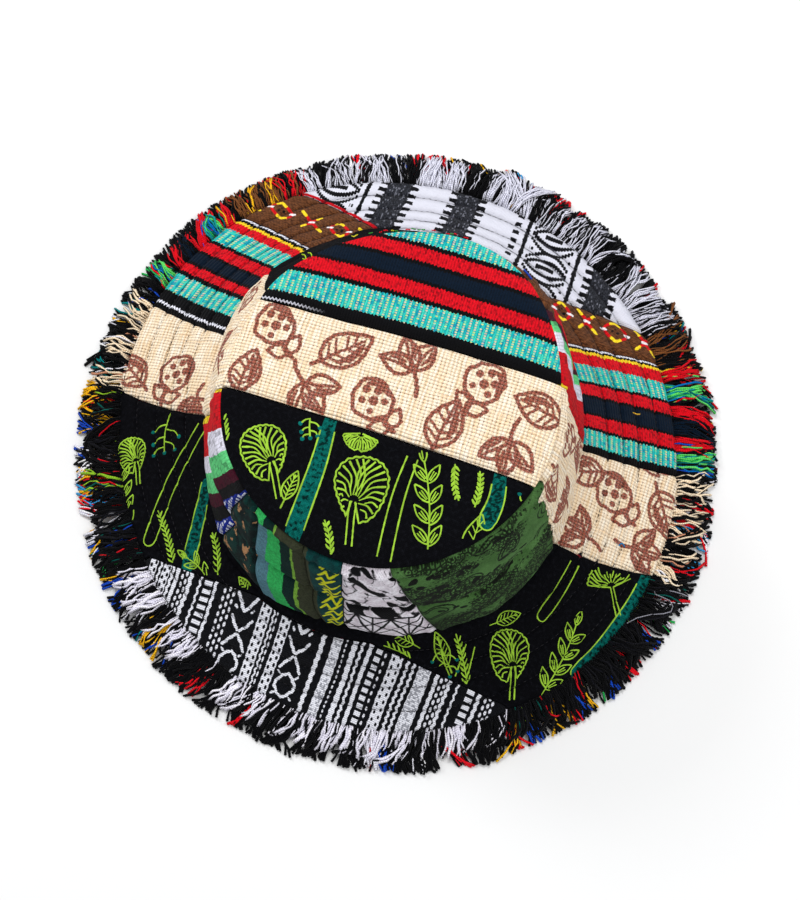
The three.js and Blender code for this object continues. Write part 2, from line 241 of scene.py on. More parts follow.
def cloth_panel(name, top, low, attributes, cloth_uv, coarse=6, wrap=False, back=None):
    """A closed piece of cloth. top and low are (rows, cols, 3) grids with the same
    outline; the outer face keeps every point, the inner face only every `coarse`th."""
    rows, cols = top.shape[:2]
    count = rows * cols
    ids = np.arange(count).reshape(rows, cols)
    ids_n = np.concatenate([ids, ids[:, :1]], 1) if wrap else ids
    R, C = ids_n.shape
    iu, iv = np.meshgrid(np.arange(C) / (C - 1), np.arange(R) / (R - 1))
    top_map = np.stack([0.01 + 0.98 * iu, 0.17 + 0.82 * iv], -1)
    low_map = np.stack([0.01 + 0.98 * iu, 0.01 + 0.08 * iv], -1)

    def corners(grid):
        return np.stack([grid[:-1, :-1], grid[:-1, 1:], grid[1:, 1:], grid[1:, :-1]], 2).reshape(-1, 4, *grid.shape[2:])

    quads, quad_map = corners(ids_n), corners(top_map)
    # inner face: points kept are the outline and the coarse lattice
    ri = sorted(set(list(range(0, R - 1, coarse)) + [R - 1]))
    ci = sorted(set(list(range(0, C - 1, coarse)) + [C - 1]))
    keep = np.zeros((rows, cols), bool)
    keep[np.ix_(ri, [c % cols for c in ci])] = True
    keep[0, :] = keep[-1, :] = True
    if not wrap:
        keep[:, 0] = keep[:, -1] = True
    low_id = -np.ones((rows, cols), np.int64)
    low_id[keep] = count + np.arange(keep.sum())
    low_n = np.concatenate([low_id, low_id[:, :1]], 1) if wrap else low_id
    polys, poly_map = [], []
    for a, b in zip(ri[:-1], ri[1:]):
        for c, d in zip(ci[:-1], ci[1:]):
            ring = [(a, j) for j in range(c, d)] if a == 0 else [(a, c)]
            ring += [(i, d) for i in range(a, b)] if (d == C - 1 and not wrap) else [(a, d)]
            ring += [(b, j) for j in range(d, c, -1)] if b == R - 1 else [(b, d)]
            ring += [(i, c) for i in range(b, a, -1)] if (c == 0 and not wrap) else [(b, c)]
            ring = ring[::-1]
            polys.append([int(low_n[i, j]) for i, j in ring])
            poly_map.append(np.array([low_map[i, j] for i, j in ring]))
    sides, side_map = [], []

    def side(hi_a, hi_b, lo_b, lo_a, k):
        n = len(hi_a)
        t0, t1 = np.arange(n) / n * 0.98 + 0.01, (np.arange(n) + 1) / n * 0.98 + 0.01
        v0, v1 = 0.10 + 0.015 * k, 0.112 + 0.015 * k
        sides.append(np.stack([hi_a, hi_b, lo_b, lo_a], -1))
        side_map.append(np.stack([np.stack([t0, 0 * t0 + v1], -1), np.stack([t1, 0 * t0 + v1], -1), np.stack([t1, 0 * t0 + v0], -1), np.stack([t0, 0 * t0 + v0], -1)], 1))

    side(ids_n[0, 1:], ids_n[0, :-1], low_n[0, :-1], low_n[0, 1:], 0)
    side(ids_n[-1, :-1], ids_n[-1, 1:], low_n[-1, 1:], low_n[-1, :-1], 1)
    if not wrap:
        side(ids_n[:-1, 0], ids_n[1:, 0], low_n[1:, 0], low_n[:-1, 0], 2)
        side(ids_n[1:, -1], ids_n[:-1, -1], low_n[:-1, -1], low_n[1:, -1], 3)
    places = np.concatenate([top.reshape(-1, 3), low[keep]])
    # outward: the middle quad's normal against top minus low
    p = places[quads[len(quads) // 2]]
    normal = np.cross(p[1] - p[0], p[3] - p[0])
    mid = quads[len(quads) // 2][0]
    outward = top.reshape(-1, 3)[mid] - low.reshape(-1, 3)[mid]
    if np.dot(normal, outward) < 0:
        quads, quad_map = quads[:, ::-1], quad_map[:, ::-1]
        sides, side_map = [k[:, ::-1] for k in sides], [k[:, ::-1] for k in side_map]
        polys, poly_map = [q[::-1] for q in polys], [q[::-1] for q in poly_map]
    values = {}
    for key, value in attributes.items():
        value = np.broadcast_to(value, (rows, cols))
        under = value[keep] if not (back and key in back) else np.full(int(keep.sum()), back[key])
        values[key] = np.concatenate([value.ravel(), under])
    uv = np.concatenate([cloth_uv.reshape(-1, 2), cloth_uv[keep]])
    maps = [quad_map] + side_map + poly_map
    return make_mesh(name, places, [quads] + sides + [polys], values, {"cloth": uv}, None, {"OFBake": maps})


# ---------------------------------------------------------------- drawing on cloth
def edge_distance(where, strokes, far=3.0):
    """For every point, how far outside the nearest stroke it lies, in mm: negative is
    inside. A stroke is (points, half width), or (points, half widths)."""
    flat = where.reshape(-1, 2)
    out = np.full(len(flat), far)
    for pts, half in strokes:
        pts = np.asarray(pts, float)
        half = np.broadcast_to(np.asarray(half, float), (len(pts),))
        reach = far + half.max()
        near = np.nonzero(((flat >= pts.min(0) - reach) & (flat <= pts.max(0) + reach)).all(1))[0]
        if not len(near):
            continue
        q = flat[near]
        best = np.full(len(near), far)
        if len(pts) == 1:
            best = np.hypot(*(q - pts[0]).T) - half[0]
        else:
            for a, b, wa, wb in zip(pts[:-1], pts[1:], half[:-1], half[1:]):
                ab = b - a
                t = np.clip(((q - a) @ ab) / max(1e-9, ab @ ab), 0, 1)
                d = np.hypot(*(q - a - t[:, None] * ab).T) - (wa + (wb - wa) * t)
                best = np.minimum(best, d)
        out[near] = np.minimum(out[near], best)
    return out.reshape(where.shape[:-1])


def smooth_line(pts, n=12):
    """Points on a curve through the given ones."""
    p = np.asarray(pts, float)
    if len(p) < 3:
        return p
    p = np.concatenate([[2 * p[0] - p[1]], p, [2 * p[-1] - p[-2]]])
    out = []
    for k in range(1, len(p) - 2):
        a, b, c, d = p[k - 1:k + 3]
        for f in np.linspace(0, 1, n, endpoint=False):
            out.append(0.5 * (2 * b + (c - a) * f + (2 * a - 5 * b + 4 * c - d) * f * f + (3 * b - a - 3 * c + d) * f ** 3))
    out.append(p[-2])
    return np.array(out)


def placed(strokes, x, y, turn, size=1.0, flip=False):
    a = math.radians(turn)
    m = np.array([[math.cos(a), math.sin(a)], [-math.sin(a), math.cos(a)]])
    done = []
    for pts, half in strokes:
        p = np.asarray(pts, float) * size
        if flip:
            p = p * [-1, 1]
        done.append((p @ m + [x, y], half))
    return done


# Motifs, each growing up from its own origin, in mm. All are plain plant forms.
def leaf(length, width, bend=0.0, line=0.5, veins=4, at_y=0.0):
    t = np.linspace(0, 1, 15)
    mid = np.stack([bend * np.sin(np.pi * t / 2) * t, at_y + length * t], -1)
    w = width / 2 * np.sin(np.pi * t ** 0.8) ** 0.9
    left, right = mid - np.stack([w, 0 * w], -1), mid + np.stack([w, 0 * w], -1)
    out = [(left, line), (right, line), (mid[:13], line * 0.8)]
    for k in range(veins):
        i = 2 + k * 10 // max(1, veins)
        for side in (-1, 1):
            tip = mid[min(14, i + 2)] + [side * w[min(14, i + 2)] * 0.75, 0]
            out.append(([mid[i], tip], line * 0.7))
    return out


def sprig(length=42, nodes=4, size=10.5, width=4.0, line=0.33, curve=2.5):
    """A stem with pairs of pointed leaves, each with two veins, and a leaf at the top."""
    t = np.linspace(0, 1, 16)
    stem = np.stack([curve * np.sin(t * 2.6), length * t], -1)
    out = [(stem, line)]

    def blade(size_):
        s = np.linspace(0, 1, 11)
        w = width / 2 * np.sin(np.pi * s ** 0.9) ** 0.9 * size_ / size
        y = size_ * s
        return [(np.stack([-w, y], -1), line), (np.stack([w, y], -1), line), ([(-0.3, size_ * 0.16), (-w[6] * 0.34, size_ * 0.62)], line * 0.8), ([(0.3, size_ * 0.16), (w[6] * 0.34, size_ * 0.62)], line * 0.8)]

    for k in range(nodes):
        s = 0.14 + 0.84 * k / nodes
        for side in (-1, 1):
            out += placed(blade(size * (1 - 0.12 * k / nodes)), curve * math.sin(s * 2.6), length * (s + (0.018 if side > 0 else 0)), side * 36)
    out += placed(blade(size * 0.8), stem[-1][0], stem[-1][1] - 0.5, 4)
    return out


def feather(length=36, line=0.33, barb=3.5, steps=12, curve=1.6):
    """A narrow fern frond with short thick barbs."""
    t = np.linspace(0, 1, 18)
    stem = np.stack([curve * np.sin(t * 3), length * t], -1)
    out = [(stem, line * 0.9)]
    for k in range(steps):
        s = 0.06 + 0.9 * k / steps
        reach = barb * (1 - 0.35 * s)
        for side in (-1, 1):
            q = s + (0.02 if side > 0 else 0)
            x, y = curve * math.sin(q * 3), length * q
            out.append(([(x, y), (x + side * reach * 0.4, y + reach * 0.45), (x + side * reach * 0.7, y + reach * 0.95)], np.array([0.35, 0.62, 0.2])))
    return out


def fan_leaf(radius=14, spread=150, ribs=15, stem=15, line=0.33, notch=2.0, cap=False):
    """A fan-shaped leaf on a stalk, with ribs running out from its foot."""
    out = [([(-1.3, -stem), (-0.8, 0.5)], line), ([(1.3, -stem), (0.8, 0.5)], line)]
    rim = []
    for k in range(ribs * 4 + 1):
        a = math.radians(-spread / 2 + spread * k / (ribs * 4))
        deep = notch * max(0.0, 1 - abs(a) / 0.16) + 0.42 * math.cos(k * math.pi / 2)
        rim.append(((radius - deep) * math.sin(a), (radius - deep) * math.cos(a)))
    rim = [(-0.8, 0.5)] + rim + [(0.8, 0.5)]
    out.append((np.array(rim), line * 1.1))
    for k in range(1, ribs):
        a = math.radians(-spread / 2 + spread * k / ribs)
        r0, r1 = (3.0, 5.6)[k % 2], radius - 0.9 - notch * max(0.0, 1 - abs(a) / 0.16)
        bow = 0.16 * math.sin(2 * a)
        mid = 0.5 * (r0 + r1)
        out.append((smooth_line([(r0 * math.sin(a * 0.9), r0 * math.cos(a * 0.9)), (mid * math.sin(a + bow), mid * math.cos(a + bow)), (r1 * math.sin(a), r1 * math.cos(a))], 4), np.linspace(0.26, 0.40, 9)))
    return out


def pad_leaf(radius=12.0, ribs=22, line=0.33):
    """A broad leaf with an uneven scalloped edge; its curved ribs run out from low down."""
    out = []
    n = ribs * 4
    a = np.linspace(math.radians(14), math.radians(346), n + 1)
    r = radius * (1 + 0.028 * np.cos(np.arange(n + 1) * np.pi / 2) + 0.07 * np.sin(3 * a + 0.9) + 0.05 * np.sin(2 * a + 0.4))
    rim = np.stack([0.84 * r * np.sin(a + np.pi), r * np.cos(a + np.pi)], -1)
    foot = np.array([0.12 * radius, -radius * 0.46])
    out.append((np.concatenate([[foot + [-0.7, -0.4]], rim, [foot + [0.7, -0.4]]]), line * 1.2))
    for k in range(1, ribs):
        e = rim[k * 4] * 0.91
        far = np.hypot(*(e - foot))
        p0 = foot + (e - foot) * (2.0, 4.2)[k % 2] / max(far, 4.5)
        bow = np.array([-(e - foot)[1], (e - foot)[0]]) * 0.13 * (1 if k * 2 > ribs else -1)
        out.append((smooth_line([p0, 0.5 * (p0 + e) + bow, e], 4), np.interp(np.linspace(0, 1, 9), [0, 0.5, 1], [0.22, 0.34, 0.46])))
    out += [([foot + [-1.2, -0.6], (-0.6, -radius), (-2.6, -radius - 10)], line), ([foot + [1.2, -0.6], (1.8, -radius), (-0.2, -radius - 10)], line)]
    return out


def pod(length=16, width=9, line=0.55, seeds=9, seed=1):
    """A seed pod: an open oval with blobs in it."""
    rng = np.random.default_rng(seed)
    t = np.linspace(0, 2 * np.pi, 30)
    outline = np.stack([width / 2 * np.sin(t) * (1 - 0.25 * np.cos(t)), length / 2 - length / 2 * np.cos(t)], -1)
    out = [(outline, line)]
    for _ in range(seeds):
        a, r = rng.uniform(0, 2 * np.pi), math.sqrt(rng.uniform(0, 1)) * 0.68
        out.append(([(width / 2 * r * math.sin(a), length / 2 + length / 2 * r * math.cos(a))], rng.uniform(0.5, 1.0)))
    return out


def twig(size=14, line=0.5, tips=None, seed=3):
    """A forked twig. tips collects where its berries sit."""
    out = [(smooth_line([(0, 0), (0.8, size * 0.5), (-0.5, size)], 6), line)]
    ends = [(-0.5, size)]
    for k, (s, side) in enumerate([(0.3, 1), (0.42, -1), (0.6, 1), (0.72, -1), (0.85, 1)]):
        y = size * s
        end = (side * size * (0.42 - 0.2 * s), y + size * 0.2)
        out.append((smooth_line([(0.3, y), (side * size * 0.2, y + size * 0.05), end], 6), line))
        ends.append(end)
    if tips is not None:
        tips += ends
    return out


# ---------------------------------------------------------------- materials
def linear(rgb):
    """sRGB 0-255 to linear, with alpha."""
    c = np.array(rgb, float) / 255
    c = np.where(c <= 0.04045, c / 12.92, ((c + 0.055) / 1.055) ** 2.4)
    return (*c.tolist(), 1.0)


class Look:
    """Builds one node material."""

    def __init__(self, name, rough=0.9, sheen=0.02, specular=0.08):
        self.mat = bpy.data.materials.new(name)
        self.mat.use_nodes = True
        self.tree = self.mat.node_tree
        self.bsdf = self.tree.nodes["Principled BSDF"]
        self.bsdf.inputs["Roughness"].default_value = rough
        self.bsdf.inputs["Specular IOR Level"].default_value = specular
        self.bsdf.inputs["Sheen Weight"].default_value = sheen
        self.bsdf.inputs["Sheen Roughness"].default_value = 0.5

    def node(self, kind, **settings):
        n = self.tree.nodes.new(kind)
        for k, v in settings.items():
            setattr(n, k, v)
        return n

    def put(self, socket, value):
        if isinstance(value, bpy.types.NodeSocket):
            self.tree.links.new(value, socket)
        elif isinstance(value, (tuple, list)) and len(value) == 3 and socket.type == "RGBA":
            socket.default_value = linear(value)
        else:
            socket.default_value = value

    def math(self, op, a, b=None, c=None, clamp=False):
        n = self.node("ShaderNodeMath", operation=op, use_clamp=clamp)
        for s, v in zip(n.inputs, (a, b, c)):
            if v is not None:
                self.put(s, v)
        return n.outputs[0]

    def attribute(self, name):
        return self.node("ShaderNodeAttribute", attribute_name=name, attribute_type="GEOMETRY").outputs["Fac"]

    def vertex_colour(self, name):
        return self.node("ShaderNodeAttribute", attribute_name=name, attribute_type="GEOMETRY").outputs["Color"]

    def uv(self):
        n = self.node("ShaderNodeUVMap", uv_map="cloth")
        s = self.node("ShaderNodeSeparateXYZ")
        self.tree.links.new(n.outputs[0], s.inputs[0])
        return s.outputs[0], s.outputs[1]

    def vector(self, x, y, z=0.0):
        n = self.node("ShaderNodeCombineXYZ")
        for s, v in zip(n.inputs, (x, y, z)):
            self.put(s, v)
        return n.outputs[0]

    def noise(self, vec, scale, detail=2.0, rough=0.5):
        n = self.node("ShaderNodeTexNoise")
        self.put(n.inputs["Vector"], vec)
        n.inputs["Scale"].default_value = scale
        n.inputs["Detail"].default_value = detail
        n.inputs["Roughness"].default_value = rough
        return n.outputs["Fac"]

    def white(self, vec):
        n = self.node("ShaderNodeTexWhiteNoise", noise_dimensions="2D")
        self.put(n.inputs["Vector"], vec)
        return n.outputs["Value"]

    def ramp(self, fac, stops, smooth=False):
        n = self.node("ShaderNodeValToRGB")
        n.color_ramp.interpolation = "LINEAR" if smooth else "CONSTANT"
        e = n.color_ramp.elements
        while len(e) > 1:
            e.remove(e[-1])
        e[0].position, e[0].color = stops[0][0], linear(stops[0][1])
        for at_, c in stops[1:]:
            k = e.new(at_)
            k.color = linear(c)
        self.put(n.inputs[0], fac)
        return n.outputs[0]

    def mix(self, fac, a, b, blend="MIX"):
        n = self.node("ShaderNodeMix", data_type="RGBA", blend_type=blend)
        self.put(n.inputs["Factor"], fac)
        self.put(n.inputs["A"], a)
        self.put(n.inputs["B"], b)
        return n.outputs["Result"]

    def span(self, x, a, b, c=0.0, d=1.0, smooth=True):
        n = self.node("ShaderNodeMapRange", interpolation_type="SMOOTHSTEP" if smooth else "LINEAR")
        self.put(n.inputs["Value"], x)
        for key, v in zip(("From Min", "From Max", "To Min", "To Max"), (a, b, c, d)):
            self.put(n.inputs[key], v)
        return n.outputs["Result"]

    def shade(self, colour, value):
        """colour times a grey value."""
        g = self.node("ShaderNodeCombineColor")
        for s in g.inputs:
            self.put(s, value)
        return self.mix(1.0, colour, g.outputs[0], "MULTIPLY")

    def inside(self, name, soft=0.12, ragged=0.0, grain=None):
        """1 inside the strokes drawn as that attribute."""
        d = self.attribute(name)
        if ragged and grain is not None:
            d = self.math("MULTIPLY_ADD", grain, ragged, d)
        return self.span(d, soft, -soft)

    def finish(self, colour, height=None, distance=0.0003, strength=0.6):
        self.put(self.bsdf.inputs["Base Color"], colour)
        if height is not None:
            b = self.node("ShaderNodeBump")
            b.inputs["Strength"].default_value = strength
            b.inputs["Distance"].default_value = distance
            self.put(b.inputs["Height"], height)
            self.tree.links.new(b.outputs[0], self.bsdf.inputs["Normal"])
        return self.mat

    def wave(self, x, period):
        """|sin| of a coordinate: 0 between threads, 1 on them."""
        return self.math("ABSOLUTE", self.math("SINE", self.math("MULTIPLY", x, math.pi / period)))

    def painted_row_shade(self, colour, low=0.55):
        """Painted shade along the stitched rows: darker along the rows of stitches, which the attribute row says the
        distance to.
        """
        return self.shade(colour, self.span(self.attribute("row"), 0.0, 0.75, low, 1.0))

    def plain_weave(self, u, v, pitch):
        a = self.math("SINE", self.math("MULTIPLY", u, math.pi / pitch))
        b = self.math("SINE", self.math("MULTIPLY", v, math.pi / pitch))
        return self.math("MULTIPLY_ADD", self.math("MULTIPLY", a, b), 0.5, 0.5)


class Val:
    """A number worked out in a node tree, written like plain arithmetic."""

    def __init__(self, k, s):
        self.k, self.s = k, s

    def _do(self, op, a, b=None):
        a, b = (x.s if isinstance(x, Val) else x for x in (a, b))
        return Val(self.k, self.k.math(op, a, b))

    def __add__(self, o):
        return self._do("ADD", self, o)

    def __radd__(self, o):
        return self._do("ADD", o, self)

    def __sub__(self, o):
        return self._do("SUBTRACT", self, o)

    def __rsub__(self, o):
        return self._do("SUBTRACT", o, self)

    def __mul__(self, o):
        return self._do("MULTIPLY", self, o)

    def __rmul__(self, o):
        return self._do("MULTIPLY", o, self)

    def __truediv__(self, o):
        return self._do("DIVIDE", self, o)

    def __mod__(self, o):
        return self._do("FLOORED_MODULO", self, o)

    def __abs__(self):
        return self._do("ABSOLUTE", self)

    def floor(self):
        return self._do("FLOOR", self)

    def root(self):
        return self._do("SQRT", self)


def low(*many):
    out = many[0]
    for m in many[1:]:
        out = out._do("MINIMUM", out, m) if isinstance(out, Val) else m._do("MINIMUM", out, m)
    return out


def high(*many):
    out = many[0]
    for m in many[1:]:
        out = out._do("MAXIMUM", out, m) if isinstance(out, Val) else m._do("MAXIMUM", out, m)
    return out


TURQUOISE, RED, NAVY, BLACK = (46, 190, 172), (214, 14, 30), (7, 22, 38), (8, 8, 11)
YELLOW, WHITE, CREAM, BROWN_INK = (240, 204, 40), (232, 233, 245), (244, 222, 188), (128, 62, 50)
LIME, TEAL, BROWN = (150, 200, 46), (8, 92, 84), (84, 48, 28)


def stripe_look(name, stops, period=2.2, jag=0.012, fleck_on=TURQUOISE, zigzag_at=None):
    """Ribbed striped cloth: bands by the attribute band, ribs across them."""
    k = Look(name)
    u, v = k.uv()
    rib = k.math("FRACT", k.math("DIVIDE", u, period))
    tri = k.math("ABSOLUTE", k.math("SUBTRACT", k.math("FRACT", k.math("DIVIDE", u, 1.65)), 0.5))
    grain = k.noise(k.vector(u, v), 0.9, 3, 0.6)
    band = k.attribute("band")
    thread = k.white(k.vector(k.math("FLOOR", k.math("DIVIDE", u, period / 4)), 3.0))
    wob = k.math("MULTIPLY_ADD", tri, jag * 2.6, -jag * 0.65)
    wob = k.math("ADD", wob, k.math("MULTIPLY_ADD", grain, jag * 1.0, -jag * 0.5))
    wob = k.math("ADD", wob, k.math("MULTIPLY_ADD", thread, jag * 1.0, -jag * 0.5))
    t = k.math("ADD", band, wob)
    colour = k.ramp(t, stops)

    def on_only(which):
        mask = k.ramp(t, [(p, (255, 255, 255) if c == which else (0, 0, 0)) for p, c in stops])
        sep = k.node("ShaderNodeSeparateColor")
        k.put(sep.inputs[0], mask)
        return sep.outputs[0]

    on, red_on, white_on = on_only(fleck_on), on_only(RED), on_only(WHITE)
    # flecks: in columns, in short picks
    pick = k.math("FRACT", k.math("DIVIDE", v, 1.15))
    cell = k.vector(k.math("FLOOR", k.math("DIVIDE", u, period)), k.math("FLOOR", k.math("DIVIDE", v, 1.15)))
    chance = k.white(cell)
    fleck = k.math("MULTIPLY", k.span(rib, 0.44, 0.5), k.span(rib, 0.92, 0.86))
    fleck = k.math("MULTIPLY", fleck, k.span(pick, 0.62, 0.5))
    fleck = k.math("MULTIPLY", fleck, k.span(chance, 0.02, 0.2))
    fleck = k.math("MULTIPLY", fleck, on)
    pale = k.ramp(chance, [(0.0, (232, 206, 158)), (0.35, (228, 220, 120)), (0.6, (236, 190, 160)), (0.85, (150, 214, 150))])
    streak = k.noise(k.vector(k.math("MULTIPLY", u, 0.9), k.math("MULTIPLY", v, 0.10)), 1.3, 2)
    turq = k.mix(k.span(streak, 0.35, 0.65), (10, 178, 178), (60, 208, 186))
    cast = k.white(k.vector(k.math("FLOOR", k.math("DIVIDE", u, 1.1)), k.math("FLOOR", k.math("DIVIDE", v, 1.6))))
    turq = k.mix(k.span(cast, 0.62, 0.9), turq, (16, 150, 172))
    turq = k.mix(k.math("MULTIPLY", k.span(grain, 0.56, 0.74), 0.55), turq, (8, 92, 96))
    colour = k.mix(on, colour, turq)
    colour = k.mix(k.math("MULTIPLY", fleck, 0.8), colour, pale)
    # the dark warp shows between the red threads
    dash = k.white(k.vector(k.math("FLOOR", k.math("DIVIDE", u, 0.8)), k.math("FLOOR", k.math("DIVIDE", k.math("MULTIPLY_ADD", u, 0.4, v), 1.1))))
    gap = k.span(dash, 0.74, 0.84)
    colour = k.mix(k.math("MULTIPLY", k.math("MULTIPLY", gap, red_on), 0.55), colour, (96, 8, 18))
    colour = k.mix(k.math("MULTIPLY", k.math("MULTIPLY", k.span(k.wave(u, period / 2), 0.42, 0.2), white_on), 0.75), colour, (60, 62, 76))
    ribs = k.wave(u, period / 2)
    # painted shade: darker between the ribs, times a random tone from the grain
    tone = k.math("MULTIPLY", k.span(ribs, 0.0, 0.5, 0.86, 1.03), k.span(grain, 0.2, 0.8, 0.70, 1.22))
    colour = k.painted_row_shade(k.shade(colour, tone))
    if zigzag_at is not None:
        at_, reach, on_ = zigzag_at
        d = k.math("SUBTRACT", band, k.math("MULTIPLY_ADD", tri, reach * 1.7, at_ - reach * 0.42))
        line = k.math("MULTIPLY", k.span(k.math("ABSOLUTE", d), reach * 0.46, reach * 0.30), k.attribute(on_))
        colour = k.mix(line, colour, (226, 227, 240))
    threads = k.wave(v, 0.58)
    height = k.math("MULTIPLY_ADD", threads, 0.35, ribs)
    return k.finish(colour, k.math("MULTIPLY_ADD", grain, 0.5, height), 0.0005, 0.85)


def hemp_look(name, ink=True):
    k = Look(name, rough=0.92, sheen=0.05)
    u, v = k.uv()
    shift = k.noise(k.vector(u, v), 0.09, 3)
    uu = k.math("MULTIPLY_ADD", shift, 1.6, u)
    vv = k.math("MULTIPLY_ADD", shift, 1.2, v)
    fine = k.noise(k.vector(u, v), 1.0, 3, 0.6)
    uu = k.math("MULTIPLY_ADD", fine, 0.5, uu)
    vv = k.math("MULTIPLY_ADD", fine, 0.5, vv)
    warp, weft = k.wave(uu, 1.75), k.wave(vv, 1.5)
    gap = k.math("MULTIPLY", k.math("SUBTRACT", 1.0, warp), k.math("SUBTRACT", 1.0, weft))
    loose = k.noise(k.vector(u, v), 0.07, 2)
    size = k.span(loose, 0.32, 0.70, 0.56, 0.30)
    speck = k.white(k.vector(k.math("FLOOR", k.math("ADD", k.math("DIVIDE", uu, 1.75), 0.5)), k.math("FLOOR", k.math("ADD", k.math("DIVIDE", vv, 1.5), 0.5))))
    size = k.math("MULTIPLY_ADD", speck, 0.22, size)
    hole = k.math("MULTIPLY", k.span(k.math("SUBTRACT", gap, size), -0.06, 0.12), k.span(speck, 0.95, 0.6, 0.1, 1.0))
    slub = k.noise(k.vector(k.math("MULTIPLY", uu, 0.75), k.math("MULTIPLY", v, 0.07)), 1.0, 3, 0.6)
    slub2 = k.noise(k.vector(k.math("MULTIPLY", u, 0.06), k.math("MULTIPLY", vv, 0.9)), 1.0, 3, 0.6)
    cloth = k.mix(k.span(slub, 0.35, 0.68), (245, 218, 180), (255, 245, 226))
    cloth = k.mix(k.math("MULTIPLY", k.span(slub2, 0.52, 0.74), 0.6), cloth, (228, 184, 134))
    # painted shade: darker tan in the grooves between the warp threads and between the weft threads
    groove = k.math("MULTIPLY", k.span(warp, 0.5, 0.0), 0.30)
    cloth = k.mix(groove, cloth, (206, 160, 110))
    cloth = k.mix(k.math("MULTIPLY", k.span(weft, 0.45, 0.0), 0.26), cloth, (206, 160, 110))
    cloth = k.mix(k.math("MULTIPLY", hole, 0.74), cloth, (128, 84, 50))
    if ink:
        grain = k.noise(k.vector(u, v), 1.1, 2, 0.6)
        inked = k.inside("ink", 0.18, 1.3, k.math("SUBTRACT", grain, 0.5))
        worn = k.span(k.noise(k.vector(u, v), 2.2, 2), 0.28, 0.5, 0.58, 1.0)
        tone = k.mix(k.span(k.math("ADD", warp, weft), 0.7, 1.6), (92, 24, 16), (146, 54, 38))
        cloth = k.mix(k.math("MULTIPLY", k.math("MULTIPLY", inked, worn), 0.95), cloth, tone)
    height = k.math("ADD", k.math("ADD", warp, weft), k.math("MULTIPLY", slub, 1.2))
    return k.finish(k.painted_row_shade(cloth, 0.80), height, 0.00055, 0.9)


def black_look(name, print_=True):
    k = Look(name, rough=0.92, sheen=0.0, specular=0.03)
    u, v = k.uv()
    lint = k.noise(k.vector(u, v), 0.55, 4, 0.7)
    base = k.mix(k.span(lint, 0.45, 0.8), (8, 8, 11), (20, 21, 26))
    speck = k.span(k.noise(k.vector(u, v), 0.8, 1), 0.80, 0.86)
    base = k.mix(k.math("MULTIPLY", speck, 0.3), base, (84, 90, 104))
    colour = base
    if print_:
        tealish = k.mix(k.span(lint, 0.3, 0.7), (2, 62, 56), (10, 104, 96))
        colour = k.mix(k.inside("teal", 0.15), base, tealish)
        colour = k.mix(k.math("MULTIPLY", k.inside("dots", 0.15), 0.9), colour, (4, 22, 22))
    weave = k.plain_weave(u, v, 0.55)
    colour = k.shade(colour, k.span(weave, 0, 1, 0.84, 1.08))
    return k.finish(colour, k.math("MULTIPLY_ADD", lint, 0.8, weave), 0.0002, 0.6)


def ink_look(name):
    k = Look(name, rough=0.9, sheen=0.0, specular=0.04)
    return k.finish(k.vertex_colour("yarn"))


def brown_look(name, drawn=True):
    k = Look(name, rough=0.92, sheen=0.03)
    u, v = k.uv()
    n = k.noise(k.vector(k.math("MULTIPLY", u, 0.5), k.math("MULTIPLY", v, 1.2)), 1.0, 4, 0.65)
    colour = k.mix(k.span(n, 0.3, 0.7), (54, 28, 14), (118, 72, 42))
    if drawn:
        grain = k.math("SUBTRACT", k.noise(k.vector(u, v), 1.3, 2), 0.5)
        for key, c in (("red", (206, 18, 26)), ("yellow", (246, 214, 40)), ("pale", (238, 232, 236)), ("black", (14, 12, 12))):
            colour = k.mix(k.inside(key, 0.16, 0.8, grain), colour, c)
    weave = k.plain_weave(u, v, 0.8)
    colour = k.painted_row_shade(k.shade(colour, k.span(weave, 0, 1, 0.76, 1.1)), 0.6)
    return k.finish(colour, k.math("ADD", weave, n), 0.0004, 0.8)


def under_look(name):
    k = Look(name, rough=0.92, sheen=0.0, specular=0.04)
    u, v = k.uv()
    n = k.noise(k.vector(u, v), 0.6, 3, 0.6)
    base = k.mix(k.span(n, 0.3, 0.7), (12, 12, 16), (30, 30, 37))
    stripe = k.math("FRACT", k.math("DIVIDE", v, 16.0))
    colour = k.mix(k.math("MULTIPLY", k.span(stripe, 0.86, 0.9), k.span(stripe, 0.99, 0.96)), base, (110, 22, 30))
    weave = k.plain_weave(u, v, 0.7)
    return k.finish(k.shade(colour, k.span(weave, 0, 1, 0.84, 1.1)), weave, 0.00025, 0.6)


def thread_look(name):
    """Loose yarn: each thread brings its own colour; its twist shows along it as bumps and as painted shade, darker
    between the turns.
    """
    k = Look(name, rough=0.92, sheen=0.03, specular=0.04)
    base = k.vertex_colour("yarn")
    along = k.attribute("along")
    twist = k.math("SINE", k.math("MULTIPLY", along, 5.6))
    tone = k.span(twist, -1, 1, 0.80, 1.08)
    return k.finish(k.shade(base, tone), twist, 0.00012, 0.6)


# ---------------------------------------------------------------- crown top panel
TOP_SEAMS = {"stripe_hemp": (147.6, -1.1), "hemp_black": (181.4, -38.1)}
EDGE_TRIM = 0.15 / 72 * 180 / math.pi * 2.4


def turned(x, y, deg):
    """Cloth axes of a strip that slopes down to the right by deg."""
    a = math.radians(deg)
    return x * math.cos(a) - y * math.sin(a), x * math.sin(a) + y * math.cos(a)


